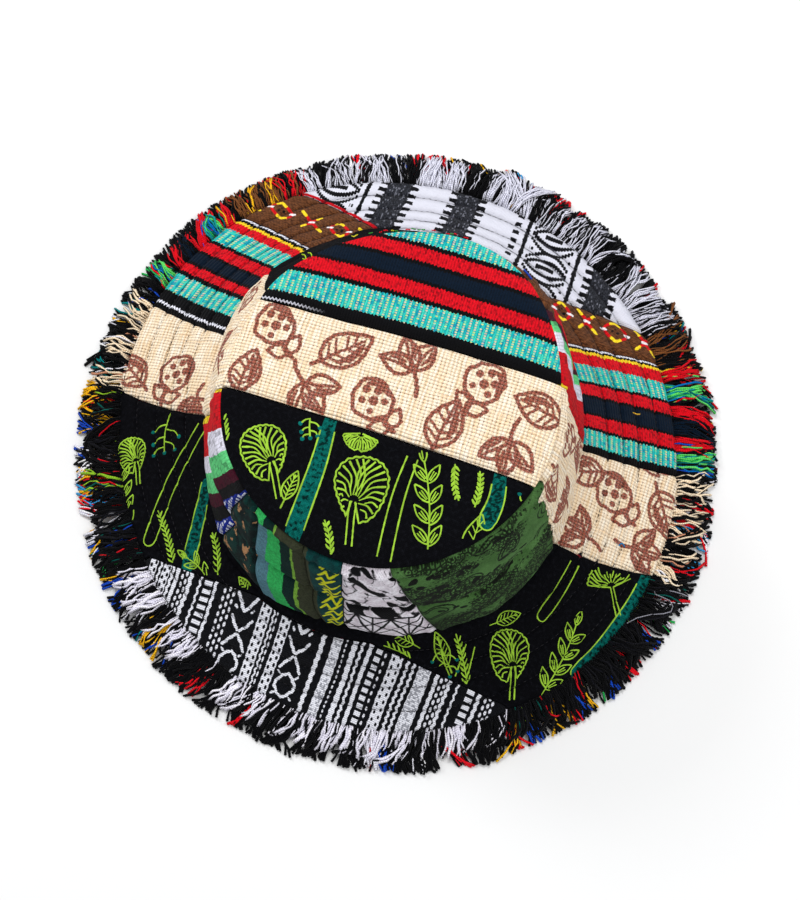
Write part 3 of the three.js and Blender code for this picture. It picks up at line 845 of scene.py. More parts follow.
def crown_relief(x, y, az, share):
    """Soft hollows, seam edges and cloth creases of the crown's top, in mm."""
    soft = 0.7 * wavy(x / 34, y / 30, 5, 2)
    ripples = 0.26 * wavy(x / 7, y / 7, 9, 2)
    rim = 0.5 * np.exp(-((1 - share) * at("topR", az) / 3.2) ** 2)
    tucks = 0.28 * noise(az / 2.6, share * 3, 3) * np.exp(-((1 - share) * at("topR", az) / 7) ** 2)
    return soft + ripples - rim + tucks


def from_line(x, y, a, b):
    """Distance from the line through a and b, positive to its right."""
    dx, dy = b[0] - a[0], b[1] - a[1]
    return ((x - a[0]) * dy - (y - a[1]) * dx) / math.hypot(dx, dy)


def seam_dip(d):
    d = np.abs(d)
    return 0.9 * np.exp(-(d / 1.3) ** 2) - 0.35 * np.exp(-((d - 3.4) / 1.6) ** 2)


def top_panel(name, left, right, rows, seam_sides, attributes, uv_deg, look, grid=GRID):
    """left, right: azimuths from the first row to the last on the outline."""
    cols = int(150.0 / grid) // 6 * 6 + 1
    across = rows
    rows = int(rows / grid) // 6 * 6 + 1
    f = np.linspace(0, 1, rows)[:, None]
    aL, aR = left[0] + (left[1] - left[0]) * f, right[0] + (right[1] - right[0]) * f
    xL, yL = at("topR", aL) * np.cos(np.radians(aL)), at("topR", aL) * np.sin(np.radians(aL))
    xR, yR = at("topR", aR) * np.cos(np.radians(aR)), at("topR", aR) * np.sin(np.radians(aR))
    g = np.linspace(0, 1, cols)[None, :]
    g = 0.5 - 0.5 * np.cos(np.pi * g) if len(seam_sides) == 1 else g * 0.75 + 0.25 * (0.5 - 0.5 * np.cos(np.pi * g))
    x, y = xL + (xR - xL) * g, yL + (yR - yL) * g
    az = np.degrees(np.arctan2(y, x))
    share = np.minimum(1, np.hypot(x, y) / at("topR", az))
    z = panel_z(az, share)
    # cloth dips into each seam
    dip = np.zeros_like(x)
    for side in seam_sides:
        row = 0 if side == "first" else -1
        dip = dip + seam_dip(from_line(x, y, (xL[row, 0], yL[row, 0]), (xR[row, 0], yR[row, 0])))
    z_top = z + crown_relief(x, y, az, share) - dip
    top = np.stack([x - CENTRE_X, y + 0 * x, z_top], -1)
    low = np.stack([x - CENTRE_X, y + 0 * x, z - TOP_CLOTH], -1)
    low[..., 2] = np.minimum(low[..., 2], z_top - 0.7)
    X, Y = top[..., 0], top[..., 1]
    U, V = turned(X, Y, uv_deg)
    values, back = attributes(X, Y, U, V)
    values, back = dict(values, row=3.0), dict(back or {}, row=3.0)
    obj = cloth_panel(name, top, low, values, np.stack([U, V], -1), back=back)
    obj.data.materials.append(look)
    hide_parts(name)
    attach(obj, "root")
    return obj


# Bands of the striped cloth on the crown, by distance up the cloth (mm).
CROWN_BANDS = [
    (18.9, BLACK), (24.1, TURQUOISE), (34.9, BLACK), (37.1, RED), (43.7, BLACK), (45.2, NAVY),
    (51.9, BLACK), (53.8, RED), (59.9, BLACK), (62.1, TURQUOISE), (80.0, TURQUOISE)]
BAND_LOW, BAND_HIGH = 15.0, 85.0


def band_stops(bands):
    stops = [(0.0, bands[0][1])]
    for start, c in bands:
        p = (start - BAND_LOW) / (BAND_HIGH - BAND_LOW)
        stops.append((p, c))
    return stops


def crown_stripe(X, Y, U, V):
    a = math.radians(16.6)
    c = X * math.sin(a) + Y * math.cos(a) + 0.4 * noise(X / 40, Y / 40, 2)
    # the white zigzag only shows along the left part of the seam
    along = np.clip((-30 - X) / 14, 0, 1) * 0.8
    return {"band": (c - BAND_LOW) / (BAND_HIGH - BAND_LOW), "edging": along}, None


# Brown drawing on the hemp, each motif round its own middle: (motif, x, y, turn, size)
def ring_of(rx, ry, wobble=0.05, n=34, phase=0.0):
    t = np.linspace(0, 2 * np.pi, n)
    w = 1 + wobble * np.sin(3 * t + phase) + wobble * 0.6 * np.sin(7 * t)
    return np.stack([rx * np.sin(t) * w, ry * np.cos(t) * w], -1)


def hemp_strokes(spots):
    out = []
    for kind, x, y, turn, size in spots:
        if kind == "pod":
            one = [(ring_of(7.0, 7.6) + [0, 2.6], 0.74)]
            arc = np.radians(np.linspace(8, 112, 12))
            one.append((np.stack([5.6 * np.sin(arc), 2.6 + 6.1 * np.cos(arc)], -1), np.interp(np.linspace(0, 1, 12), [0, 0.2, 0.8, 1], [0.2, 0.95, 0.95, 0.2])))
            for dx, dy, r in ((0.2, 7.0, 1.5), (-3.2, 4.4, 1.35), (3.3, 4.2, 1.5), (0.1, 2.0, 1.75), (-3.0, -0.6, 1.2), (3.2, -0.4, 1.3)):
                one.append(([(dx, dy)], r))
            one.append((smooth_line([(0, -5), (-0.7, -8), (0.6, -11.5)], 5), 0.8))
            one += [(leaf(7.5, 5.0, 0.5, 0.66, 0)[k][0] @ np.array([[0.42, 0.9], [-0.9, 0.42]]) * [s, 1] + [0.2 * s, -9.0], 0.66) for s in (1, -1) for k in (0, 1)]
        elif kind == "leaf":
            one = placed(leaf(20, 13, 1.5, 0.72, 4), 0, -9, 0)
            one.append((np.array([(3.2, -3.6), (4.1, 0.0), (3.5, 3.6), (2.2, 7.4)]), np.array([0.6, 1.4, 1.3, 0.4])))
            one.append(([(0, -9), (-0.6, -12.5)], 0.8))
        else:
            one = []
            for k in (-52, 0, 52):
                one += placed(leaf(12.5, 7.4, 0, 0.72, 0)[:3], 0, -1.5, k)
                one += placed([(np.array([(1.7, 3.4), (2.0, 6.2), (1.3, 9.2)]), np.array([0.4, 0.8, 0.4]))], 0, -1.5, k)
            one.append((smooth_line([(0, -1), (0.5, -6), (-0.8, -11)], 5), 0.78))
        out += [(p, np.asarray(h, float) * 1.24) for p, h in placed(one, x, y, turn, size * 1.2)]
    rough = np.random.default_rng(8)
    # stitched unevenly: every outline shakes a little
    return [(np.asarray(p, float) + (rough.normal(0, 0.16, np.shape(p)) if len(p) > 2 else 0), h) for p, h in out]


CROWN_HEMP = hemp_strokes([
    ("pod", -50, 22.0, 24, 0.98), ("leaf", -22, 13.2, -62, 1.0), ("trio", 7, 5.2, 12, 1.0), ("pod", 36, -4.4, -34, 1.0), ("leaf", 61, -13.5, 68, 0.9),
    ("leaf", -64, 4, -20, 0.8), ("trio", -37, -3.4, -150, 1.0), ("pod", -8, -12.0, 30, 1.0), ("leaf", 20, -20.4, -24, 0.95), ("trio", 48, -29.4, 165, 0.98)])


def crown_hemp(X, Y, U, V):
    P = np.stack([X, Y], -1)
    return {"ink": edge_distance(P, CROWN_HEMP)}, {"ink": 3.0}


# Lime and teal drawing on the black cloth: (motif, x, y, turn, size, flip)
def black_strokes(spots, bands, seed=5):
    """(lime lines, teal fills, dark dots on them, teal spots)"""
    lime, teal, dots, ends = [], [], [], []
    rng = np.random.default_rng(seed)
    for kind, x, y, turn, size, flip in spots:
        tips = []
        if kind == "sprig":
            one = sprig(42, 4)
        elif kind == "short sprig":
            one = sprig(24, 2)
        elif kind == "frond":
            one = feather(36)
        elif kind == "short frond":
            one = feather(22, steps=7)
        elif kind == "fan":
            one = fan_leaf()
        elif kind == "pad":
            one = pad_leaf()
        elif kind == "pod":
            one = pod(24, 12, 0.36, 26, int(abs(x * 7 + y)) + 1)
        elif kind == "leaf":
            one = leaf(24, 11, 2.0, 0.33, 5)
            one.append(([(0, 0), (-0.8, -7)], 0.33))
        else:
            one = twig(20, 0.33, tips)
        lime += placed(one, x, y, turn, size, flip)
        for (p, _) in placed([([t], 1) for t in tips], x, y, turn, size, flip):
            ends.append((p + [0, 0.2], 0.95))
    for pts, half, filled in bands:
        line = smooth_line(pts, 10)
        half = half * np.interp(np.linspace(0, 1, len(line)), [0, 0.5, 0.9, 1], [0.82, 1.0, 1.1, 0.95])
        d = np.gradient(line, axis=0)
        n = np.stack([-d[:, 1], d[:, 0]], -1) / np.maximum(1e-6, np.hypot(d[:, 0], d[:, 1]))[:, None]
        cap = [line[-1] + d[-1] / np.hypot(*d[-1]) * half[-1] * math.cos(a) + n[-1] * half[-1] * math.sin(a) for a in np.radians([75, 60, 45, 30, 15, 0, -15, -30, -45, -60, -75])]
        loop = np.concatenate([line + n * half[:, None], cap, (line - n * half[:, None])[::-1]])
        lime.append((loop, 0.34))
        if not filled:
            continue
        teal.append((line, half - 0.15))
        for p, q, h in zip(line[:-1], n[:-1], half[:-1]):
            for _ in range(4):
                at_ = p + q * rng.uniform(-1, 1) * (h - 1.1) + rng.uniform(-0.7, 0.7, 2)
                way = rng.uniform(-0.7, 0.7, 2)
                dots.append(([at_, at_ + way], rng.uniform(0.28, 0.55)))
    return lime, teal, dots, ends


CROWN_BLACK = black_strokes(
    [("pad", -55, -31, 22, 0.96, False), ("sprig", 13, -77, 3, 0.98, False), ("pad", -14, -47, -16, 1.12, True), ("short frond", -27, -78, 8, 0.8, False),
     ("pod", -62, -62, 24, 0.72, False), ("twig", 55, -66, -3, 0.8, True), ("short frond", -71, -27, 14, 0.8, False), ("leaf", 30, -76, -14, 0.8, False),
     ("twig", -35, -14, 176, 0.6, False), ("short frond", 25, -37, 186, 0.7, False),
     ("fan", -14, -24, 168, 0.55, False), ("short frond", 33, -55, -8, 0.7, False), ("leaf", -46, -52, -20, 0.55, False)],
    [([(-27, -18), (-33, -40), (-44, -70)], 3.5, True), ([(9, -30), (1, -52), (-6, -82)], 2.7, False), ([(44, -41), (42, -52), (38, -61)], 3.4, True)])


def black_values(strokes, P):
    lime, teal, dots, tips = strokes
    values = {"teal": edge_distance(P, teal, 2.0), "dots": edge_distance(P, dots, 2.0)}
    return values, {"teal": 2.0, "dots": 2.0}


def crown_black(X, Y, U, V):
    return black_values(CROWN_BLACK, np.stack([X, Y], -1))


look_stripe_crown = stripe_look("striped_cloth_crown", band_stops(CROWN_BANDS), 2.45, 0.35 / 70 * 1.6, zigzag_at=((20.1 - BAND_LOW) / 70, 0.95 / 70, "edging"))
look_hemp = hemp_look("hemp_cloth")
look_black = black_look("black_printed_cotton")

(shL, shR), (hbL, hbR) = TOP_SEAMS["stripe_hemp"], TOP_SEAMS["hemp_black"]
o = top_panel("crown_top_stripe", (shL - EDGE_TRIM, 77), (shR + EDGE_TRIM, 70), 60, ["first"], crown_stripe, 16.6, look_stripe_crown)
o = top_panel("crown_top_hemp", (shL + EDGE_TRIM, hbL - EDGE_TRIM), (shR - EDGE_TRIM, hbR + EDGE_TRIM), 44, ["first", "last"], crown_hemp, 17.5, look_hemp)
o = top_panel("crown_top_black", (hbL + EDGE_TRIM, 249), (hbR - EDGE_TRIM, -105), 60, ["first"], crown_black, 18.4, look_black)


# ---------------------------------------------------------------- brim
BRIM_SEAMS = {
    "hemp_right": (-36.8, -27.4), "stripe_right": (-6.4, -6.7), "brown_right": (28.4, 17.4), "ikat_right": (44.3, 24.2),
    "ikat_left": (94.4, 110.9), "brown_left": (114.1, 123.3), "stripe_left": (150.5, 149.0), "hemp_left": (176.0, 168.4)}
FRONT_REACH, FRONT_AZ, FRONT_NECK, FRONT_FROM, FRONT_TO = 96.2, 247.3, 3.2, 205.2, 292.4
STITCH_ROWS = (1.6, 10.8, 20.8, 28.4, 36.2)      # distance of each quilting row from the cloth's edge
SEAM_TRIM = 0.15 / 90 * 180 / math.pi * 1.15


def front_seam(az):
    return np.maximum(FRONT_REACH / np.cos(np.radians(az - FRONT_AZ)), at("baseR", az) + FRONT_NECK)


def stitch_line(row, az):
    """How far from the cloth's edge a quilting row runs."""
    return row + 0.55 * noise(np.radians(az) * 120 / 24, row, 33)


def brim_relief(az, r):
    """Quilting, puckers and waves of the brim's upper layer, in mm."""
    d = at("edgeR", az) - r
    arc = np.radians(az) * 120
    total = 0.6 * wavy(arc / 33, r / 26, 21, 2)
    lines = [stitch_line(row, az) for row in STITCH_ROWS] + [47.0 + 0 * az]
    for a, b in zip(lines[:-1], lines[1:]):
        f = np.clip((d - a) / (b - a), 0, 1)
        total = total + 1.3 * np.sin(np.pi * f) ** 0.6
    near = np.full(np.broadcast(d, arc).shape, 9.0)
    for line in lines[:-1]:
        total = total - 0.55 * np.exp(-((d - line) / 0.7) ** 2)
        near = np.minimum(near, np.abs(d - line))
    pucker = noise(arc / 3.3, r / 9, 41) + 0.7 * noise(arc / 1.8, r / 6, 47)
    total = total + 0.36 * pucker * np.exp(-(near / 2.9) ** 2) + 0.10 * pucker
    # slack cloth between rows gathers into short slanting folds
    slack = np.sin(arc / 2.6 + 1.8 * noise(arc / 9, r / 8, 49)) * np.clip(noise(arc / 17, r / 11, 53), 0, 1)
    total = total + 0.5 * slack
    base = r - at("baseR", az)
    total = total + 0.5 * np.exp(-((base - 1.5) / 2.2) ** 2) * (1 + noise(arc / 4, 0, 51))
    total = total - 0.7 * np.exp(-(np.maximum(0, d) / 1.3) ** 2) - 0.6
    return total


def brim_panel(name, azimuth, inner, outer, cols, rows, attributes, look, seams=(True, True), grid=GRID):
    """azimuth(g, f): azimuths over the piece; inner, outer: radii at an azimuth."""
    cols = max(2, int(cols / grid) // 6) * 6 + 1
    rows = max(2, int(rows / grid) // 6) * 6 + 1
    g, f = np.linspace(0, 1, cols)[None, :], np.linspace(0, 1, rows)[:, None]
    az = azimuth(g, f)
    r = inner(az) + (outer(az) - inner(az)) * f
    z = brim_z(az, brim_share(az, r))
    relief = brim_relief(az, r)
    arc = np.radians(np.abs(az[:, -1:] - az[:, :1])) * r
    for side, there in zip((0, 1), seams):
        if there:
            w = (g if side == 0 else 1 - g) * arc
            relief = relief - 1.1 * np.exp(-(w / 1.2) ** 2) + 0.4 * np.exp(-((w - 3.2) / 1.5) ** 2)
    top = point(az, r, z + relief)
    low = point(az, r, np.minimum(z - BRIM_CLOTH, z + relief - 0.6))
    values, back, uv = attributes(az, r, g, f, top)
    values["row"] = np.minimum.reduce([np.abs(at("edgeR", az) - r - stitch_line(row, az)) for row in STITCH_ROWS])
    back = dict(back or {}, row=3.0)
    obj = cloth_panel(name, top, low, values, uv, back=back)
    obj.data.materials.append(look)
    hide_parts(name)
    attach(obj, "root")
    return obj


def inner_edge(az):
    return at("baseR", az) - SEAM_MARGIN + 0.4


def cloth_edge(az):
    return at("edgeR", az)


def between(a, b):
    def azimuth(g, f):
        (i0, o0), (i1, o1) = BRIM_SEAMS[a], BRIM_SEAMS[b]
        start, end = i0 + (o0 - i0) * f + SEAM_TRIM, i1 + (o1 - i1) * f - SEAM_TRIM
        return start + (end - start) * g
    return azimuth


def fractions(stops):
    return [(max(0.0, p), c) for p, c in stops]


LEFT_BANDS = [(0, WHITE), (0.020, BLACK), (0.052, YELLOW), (0.078, RED), (0.155, TURQUOISE), (0.31, BLACK), (0.34, RED),
              (0.435, BLACK), (0.46, NAVY), (0.55, BLACK), (0.575, RED), (0.645, BLACK), (0.685, TURQUOISE),
              (0.84, BLACK), (0.942, WHITE), (0.964, BLACK)]
RIGHT_BANDS = [(0, WHITE), (0.020, BLACK), (0.046, YELLOW), (0.072, RED), (0.18, TURQUOISE), (0.34, BLACK), (0.37, RED),
               (0.47, BLACK), (0.50, NAVY), (0.635, BLACK), (0.66, RED), (0.77, BLACK), (0.80, TURQUOISE), (0.945, BLACK)]
look_stripe_left = stripe_look("striped_cloth_left", LEFT_BANDS, 3.6, 0.35 / 62 * 1.6)
look_stripe_right = stripe_look("striped_cloth_right", RIGHT_BANDS, 2.5, 0.35 / 62 * 1.6)


def strip_values(across):
    """across(g): share from the strip's first side, 0 to 1."""
    def attributes(az, r, g, f, top):
        share = across(g) + 0 * f
        v = share * np.radians(np.abs(az[:, -1:] - az[:, :1])) * 118
        return {"band": share + 0 * az}, None, np.stack([r - 80 + 0 * az, v + 0 * az], -1)
    return attributes


o = brim_panel("brim_stripe_left", between("brown_left", "stripe_left"), inner_edge, cloth_edge, 62, 48,
               strip_values(lambda g: g), look_stripe_left)
o = brim_panel("brim_stripe_right", between("stripe_right", "brown_right"), inner_edge, cloth_edge, 58, 50,
               strip_values(lambda g: 1 - g), look_stripe_right)


def plan_values(deg, strokes=None, key="ink", far=3.0):
    def attributes(az, r, g, f, top):
        X, Y = top[..., 0], top[..., 1]
        U, V = turned(X, Y, deg)
        values, back = {}, None
        if strokes is not None:
            values[key] = edge_distance(np.stack([X, Y], -1), strokes, far)
            back = {key: far}
        return values, back, np.stack([U, V], -1)
    return attributes


BRIM_HEMP_L = hemp_strokes([("pod", -106, 29, -30, 0.98), ("leaf", -128, 36, 40, 0.9), ("trio", -94, 14, 160, 0.7), ("trio", -126, 12, 110, 0.7)])
BRIM_HEMP_R = hemp_strokes([("pod", 104, -30, 34, 1.0), ("leaf", 128, -34, -160, 0.98), ("trio", 86, -48, 60, 0.85), ("leaf", 88, -20, 100, 0.85),
                            ("trio", 114, -52, -100, 0.9), ("pod", 128, -9, -70, 0.8)])
o = brim_panel("brim_hemp_left", between("stripe_left", "hemp_left"), inner_edge, cloth_edge, 48, 50,
               plan_values(17.5, BRIM_HEMP_L), look_hemp)
o = brim_panel("brim_hemp_right", between("hemp_right", "stripe_right"), inner_edge, cloth_edge, 52, 52,
               plan_values(17.5, BRIM_HEMP_R), look_hemp)


# Brown cloth with its embroidered chain. Knots in white; from them red arms run to
# yellow tips half way to the next knot: a ring, then a cross, and so on.
def chain_strokes(knots, first_ring, reach=5.1):
    red, yellow, pale, black = [], [], [], []
    knots = [np.array(k, float) for k in knots]
    for n, (a, b) in enumerate(zip(knots[:-1], knots[1:])):
        kind = (n - first_ring) % 3
        mid = (a + b) / 2
        for s in (-1, 1):
            tip = mid + [0.1, s * reach]
            ends = [a, b] if kind == 0 else [b] if kind == 1 else [a]
            for end in ends:
                bow = end + [0.05 * (mid - end)[0], s * reach * 0.42] + 0.18 * (mid - end) if kind == 0 else end + 0.5 * (tip - end)
                near = end + [0.5 * np.sign((mid - end)[0]), s * 1.0]
                curve = smooth_line([near, bow, end + 0.62 * (tip - end) + [0, s * 0.6 * (kind == 0)], tip], 5)
                cut = int(len(curve) * 0.62)
                red.append((curve[:cut + 1], 0.72))
                yellow.append((curve[cut + 1:], 0.76))
        if kind == 0:
            black += [([mid + [-1.4, 0.5]], 0.7), ([mid + [1.2, -0.6]], 0.8), ([mid + [0.1, 1.6]], 0.5)]
    for k in knots:
        pale.append(([k + [-1.1, 0.3], k + [1.1, -0.3]], 0.66))
    return red, yellow, pale, black


LEFT_KNOTS = [(-84.5, 136.0), (-73.4, 129.0), (-62.4, 122.5), (-51.1, 115.7), (-41.2, 109.2), (-32.0, 104.2), (-22.5, 99.0), (-13.0, 94.0)]
RIGHT_KNOTS = [(66.0, 61.0), (74.8, 60.0), (83.5, 58.9), (92.0, 57.6), (100.5, 55.7), (112.4, 53.6), (121.4, 51.0), (130.5, 48.6), (141.0, 46.0)]


def brown_values(chain, flip):
    red, yellow, pale, black = chain

    def attributes(az, r, g, f, top):
        share = (g if not flip else 1 - g) + 0 * f + 0 * az     # from the ikat side to the striped side
        width = np.radians(np.abs(az[:, -1:] - az[:, :1])) * r
        along = r - 80
        v = share * width
        P = top[..., :2] + 0.25 * np.stack([lattice(np.floor(along / 0.8), np.floor(v / 0.8), 5) - 0.5, lattice(np.floor(along / 0.8), np.floor(v / 0.8), 6) - 0.5], -1)
        values = {"red": edge_distance(P, red), "yellow": edge_distance(P, yellow), "pale": edge_distance(P, pale), "black": edge_distance(P, black)}
        return values, {"red": 3.0, "yellow": 3.0, "pale": 3.0, "black": 3.0}, np.stack([along + 0 * az, v], -1)
    return attributes


look_brown = brown_look("brown_embroidered_cloth")
o = brim_panel("brim_brown_left", between("ikat_left", "brown_left"), inner_edge, cloth_edge, 30, 46, brown_values(chain_strokes(LEFT_KNOTS, 2), False), look_brown, grid=GRID * 0.9)
o = brim_panel("brim_brown_right", between("brown_right", "ikat_right"), inner_edge, cloth_edge, 30, 46, brown_values(chain_strokes(RIGHT_KNOTS, 1), True), look_brown, grid=GRID * 0.9)


# ---- ikat: columns across the strip, by their place along it (mm)
def box_distance(u, v, cu, cv, hu, hv):
    return np.maximum(np.abs(u - cu) - hu, np.abs(v - cv) - hv)


def jitter(u, v, du, dv, seed, amount):
    """A random step for each thread-sized cell, so that edges come out ragged."""
    return (lattice(np.floor(u / du), np.floor(v / dv), seed) - 0.5) * 2 * amount


def eye_lattice(u, v, cu, cv, reach, pitch=21.6):
    """Pointed rings round a blob, one above the other, stepped like the weave."""
    step = (u / 1.3).floor()
    a = (step + 0.5) * 1.3
    edge = abs(u - a) * 0.7
    aa = abs(a - cu)
    bb = abs((v - cv + pitch / 2) % pitch - pitch / 2)
    blob = high(bb - 1.7, aa - 4.8)
    first = abs(bb + aa * aa * 0.046 - 5.3) - 1.55
    outer = abs(bb + aa * aa * 0.062 - (pitch / 2 + 0.1)) - 1.5
    knot = high(abs(aa - 9.9) - 0.9, abs(bb - pitch / 2) - 1.2)
    on = low(blob, first, outer, knot) + edge
    return high(on, aa - reach)


def ikat_look(name):
    """White cloth with charcoal blocks, black teeth beside them and ringed columns."""
    k = Look(name, rough=0.92, sheen=0.03, specular=0.05)
    su, sv = k.uv()
    u, v = Val(k, su), Val(k, sv)
    grain = Val(k, k.noise(k.vector(su, sv), 1.2, 2)) - 0.5
    line = Val(k, k.white(k.vector(3.0, (v / 0.85).floor().s))) - 0.5
    cellular = Val(k, k.white(k.vector((u / 0.9).floor().s, (v / 0.8).floor().s))) - 0.5
    sway = Val(k, k.noise(k.vector(su, sv), 0.035, 1)) - 0.5
    u = u + sway * 2.0
    grey = None
    for a, b in ((-44.2, -32.0), (-9.2, 2.6), (65.8, 77.4), (99.0, 112.0)):
        d = abs(u - (a + b) / 2) - (b - a) / 2
        grey = d if grey is None else low(grey, d)
    grey = grey + line * 0.9
    pitch = 5.1
    row = abs((v + 0.5 * pitch) % pitch - 0.5 * pitch) - 1.3
    dark = None
    for c, w in ((-45.6, 2.1), (-30.6, 2.1), (-10.6, 2.0), (4.0, 2.1), (64.4, 2.1), (78.8, 2.1)):
        d = high(abs(u - c) - w, row)
        dark = d if dark is None else low(dark, d)
    pitch = 5.9
    row2 = abs((v - 131.0 + 0.5 * pitch) % pitch - 0.5 * pitch) - 1.3
    dark = low(dark, high(abs(u - 24.4) - 1.6, row2)) + cellular * 0.55
    for c in (-52.6, 29.9, 57.6):
        dark = low(dark, abs(u - c) - 1.05 + line * 0.6)
    dark = low(dark, eye_lattice(u, v, 43.9, 101.7, 11.0))
    dark = low(dark, eye_lattice(u, v, -67.0, 96.5, 11.0))
    picks_ = k.wave(sv, 0.75)
    fine = k.wave(su, 0.62)
    white = k.mix(k.span(picks_, 0.0, 0.6), (204, 205, 219), (228, 228, 240))
    # painted shade: soft grey streaks where the slack white cloth sags
    slack = k.noise(k.vector(k.math("MULTIPLY", su, 0.3), sv), 1.0, 3)
    white = k.mix(k.math("MULTIPLY", k.span(slack, 0.5, 0.72), 0.3), white, (204, 205, 219))
    fleck = k.white(k.vector(k.math("FLOOR", k.math("DIVIDE", su, 0.62)), k.math("FLOOR", k.math("DIVIDE", sv, 1.2))))
    char = k.mix(k.span(k.noise(k.vector(k.math("MULTIPLY", su, 1.9), k.math("MULTIPLY", sv, 0.8)), 1.0, 3, 0.7), 0.36, 0.66), (14, 15, 19), (60, 62, 71))
    char = k.mix(k.math("MULTIPLY", k.span(fleck, 0.88, 0.94), 0.45), char, (150, 152, 166))
    char = k.mix(k.math("MULTIPLY", k.span(fleck, 0.22, 0.12), 0.6), char, (12, 12, 16))
    colour = k.mix(k.span((grey + grain * 0.4).s, 0.14, -0.14), white, char)
    colour = k.mix(k.span((dark + grain * 0.25).s, 0.14, -0.14), colour, (12, 12, 16))
    # painted shade: grey along the thin creases beside the stitched rows
    colour = k.mix(k.math("MULTIPLY", k.inside("crease", 0.22, 0.5, grain.s), 0.7), colour, (96, 96, 110))
    colour = k.mix(k.inside("red", 0.15, 0.6, grain.s), colour, (206, 20, 32))
    # painted shade: the white darkens over the few mm beside each stitched row, as on the sides of the quilted pillows
    colour = k.shade(colour, k.span(k.attribute("row"), 0.4, 3.6, 0.84, 1.0))
    colour = k.painted_row_shade(k.shade(colour, k.span(fine, 0.0, 0.5, 0.9, 1.0)), 0.55)
    return k.finish(colour, k.math("ADD", fine, picks_), 0.0003, 0.7)


def ikat_values(az, r, g, f, top):
    U, V = turned(top[..., 0], top[..., 1], 17.5)
    d = at("edgeR", az) - r
    # thin shadowed creases of the slack white cloth beside each row of stitches
    crease = np.full(U.shape, 3.0)
    for k, row in enumerate(STITCH_ROWS[1:]):
        for j, off in enumerate((0.0, 1.3, -1.1)):
            line = stitch_line(row, az) + off + 0.9 * (j > 0) * noise(U / 11, k * 7 + j, 65)
            there = noise(U / 9, k * 5 + j * 3, 67) + (0.7 if j == 0 else -0.2)
            crease = np.minimum(crease, np.abs(d - line) + 0.12 - 0.34 * there)
    # a red edge thread along the seam to the brown cloth on the left
    w = (1 - g) * np.radians(np.abs(az[:, -1:] - az[:, :1])) * r
    red = np.abs(w - 1.0 + 0.3 * np.abs(((r / 1.7) % 1) - 0.5)) - 0.8
    values = {"crease": crease, "red": red + 0 * U}
    return values, {key: 3.0 for key in values}, np.stack([U, V], -1)


look_ikat = ikat_look("white_and_charcoal_ikat")
o = brim_panel("brim_ikat", between("ikat_right", "ikat_left"), inner_edge, cloth_edge, 195, 42, ikat_values, look_ikat, grid=GRID * 1.15)


# ---- front weave: columns across the strip (mm along it, mm across it)
def zigzag(u, v, c, half, pitch=3.3, swing=0.4):
    return abs(u - c + abs((v * (2 / pitch)) % 2 - 1) * (2 * swing) - swing) - half


def dots(u, v, c, pitch=3.4, a=0.62, b=1.1, phase=0.0):
    x, y = (u - c) / a, ((v + (phase * pitch + pitch / 2)) % pitch - pitch / 2) / b
    return ((x * x + y * y).root() - 1) * a


def ladder(u, v, a, b, pitch=3.5, half=0.95):
    return high(abs(u - (a + b) / 2) - (b - a) / 2, abs((v + pitch / 2) % pitch - pitch / 2) - half)


def mesh_band(u, v, a, b, cols=2, pitch=3.4, hole=(0.66, 0.95)):
    holes = None
    for j in range(cols):
        c = a + (b - a) * (j + 0.5 + 0.06) / (cols + 0.12)
        d = dots(u, v, c, pitch, hole[0], hole[1], 0.5 * j)
        holes = d if holes is None else low(holes, d)
    body = abs(u - (a + b) / 2) - (b - a) / 2 + abs((v * (2 / pitch)) % 2 - 1) * 0.3
    return high(body, 0 - holes)


def toothed(u, v, c, half, pitch=3.4, deep=0.3):
    return abs(u - c) - half + abs((v * (2 / pitch)) % 2 - 1) * deep


FIGURES = []
for cx, wide in ((-32.6, 5.4), (-3.6, 5.0)):
    # a cross of four stepped arms, a diamond below it, and the foot of a diamond cut by the seam above it
    for sx, sy in ((-1, 1), (1, 1), (-1, -1), (1, -1)):
        reach = np.array([sx * wide, sy * (6.4 if sy > 0 else 6.8)])
        for k in range(3):
            near, far = 0.12 + 0.30 * k, 0.12 + 0.30 * k + 0.27
            side = np.array([0.10 * sx, -0.10 * sy]) * (1 if k % 2 else -1)
            FIGURES.append(([reach * near + side + [cx, -113.2], reach * far + side + [cx, -113.2]], 0.62))
    rim = np.array([(0.2, 5.4), (2.2, 4.2), (3.1, 2.9), (4.5, 1.6), (4.6, -1.2), (3.2, -2.5), (2.3, -4.0), (0.1, -5.3), (-2.1, -4.2), (-3.2, -2.7), (-4.6, -1.5), (-4.5, 1.3), (-3.1, 2.7), (-2.2, 4.1), (0.2, 5.4)])
    FIGURES.append((rim + [cx, -127.0], 0.62))
    FIGURES += [([(cx + sx * 3.9, -127.0 + sy * 4.4), (cx + sx * 4.9, -127.0 + sy * 5.2)], 0.5) for sx in (-1, 1) for sy in (-1, 1)]
    FIGURES += [([(cx - 5.0, -97.2), (cx - 3.6, -99.2), (cx - 2.3, -100.6), (cx - 1.4, -102.4), (cx, -103.6), (cx + 1.5, -102.2), (cx + 2.6, -100.4), (cx + 4.0, -98.9), (cx + 5.0, -97.0)], 0.72),
                ([(cx - 4.6, -102.6), (cx - 3.7, -103.5)], 0.55), ([(cx + 4.4, -102.3), (cx + 3.6, -103.3)], 0.55)]


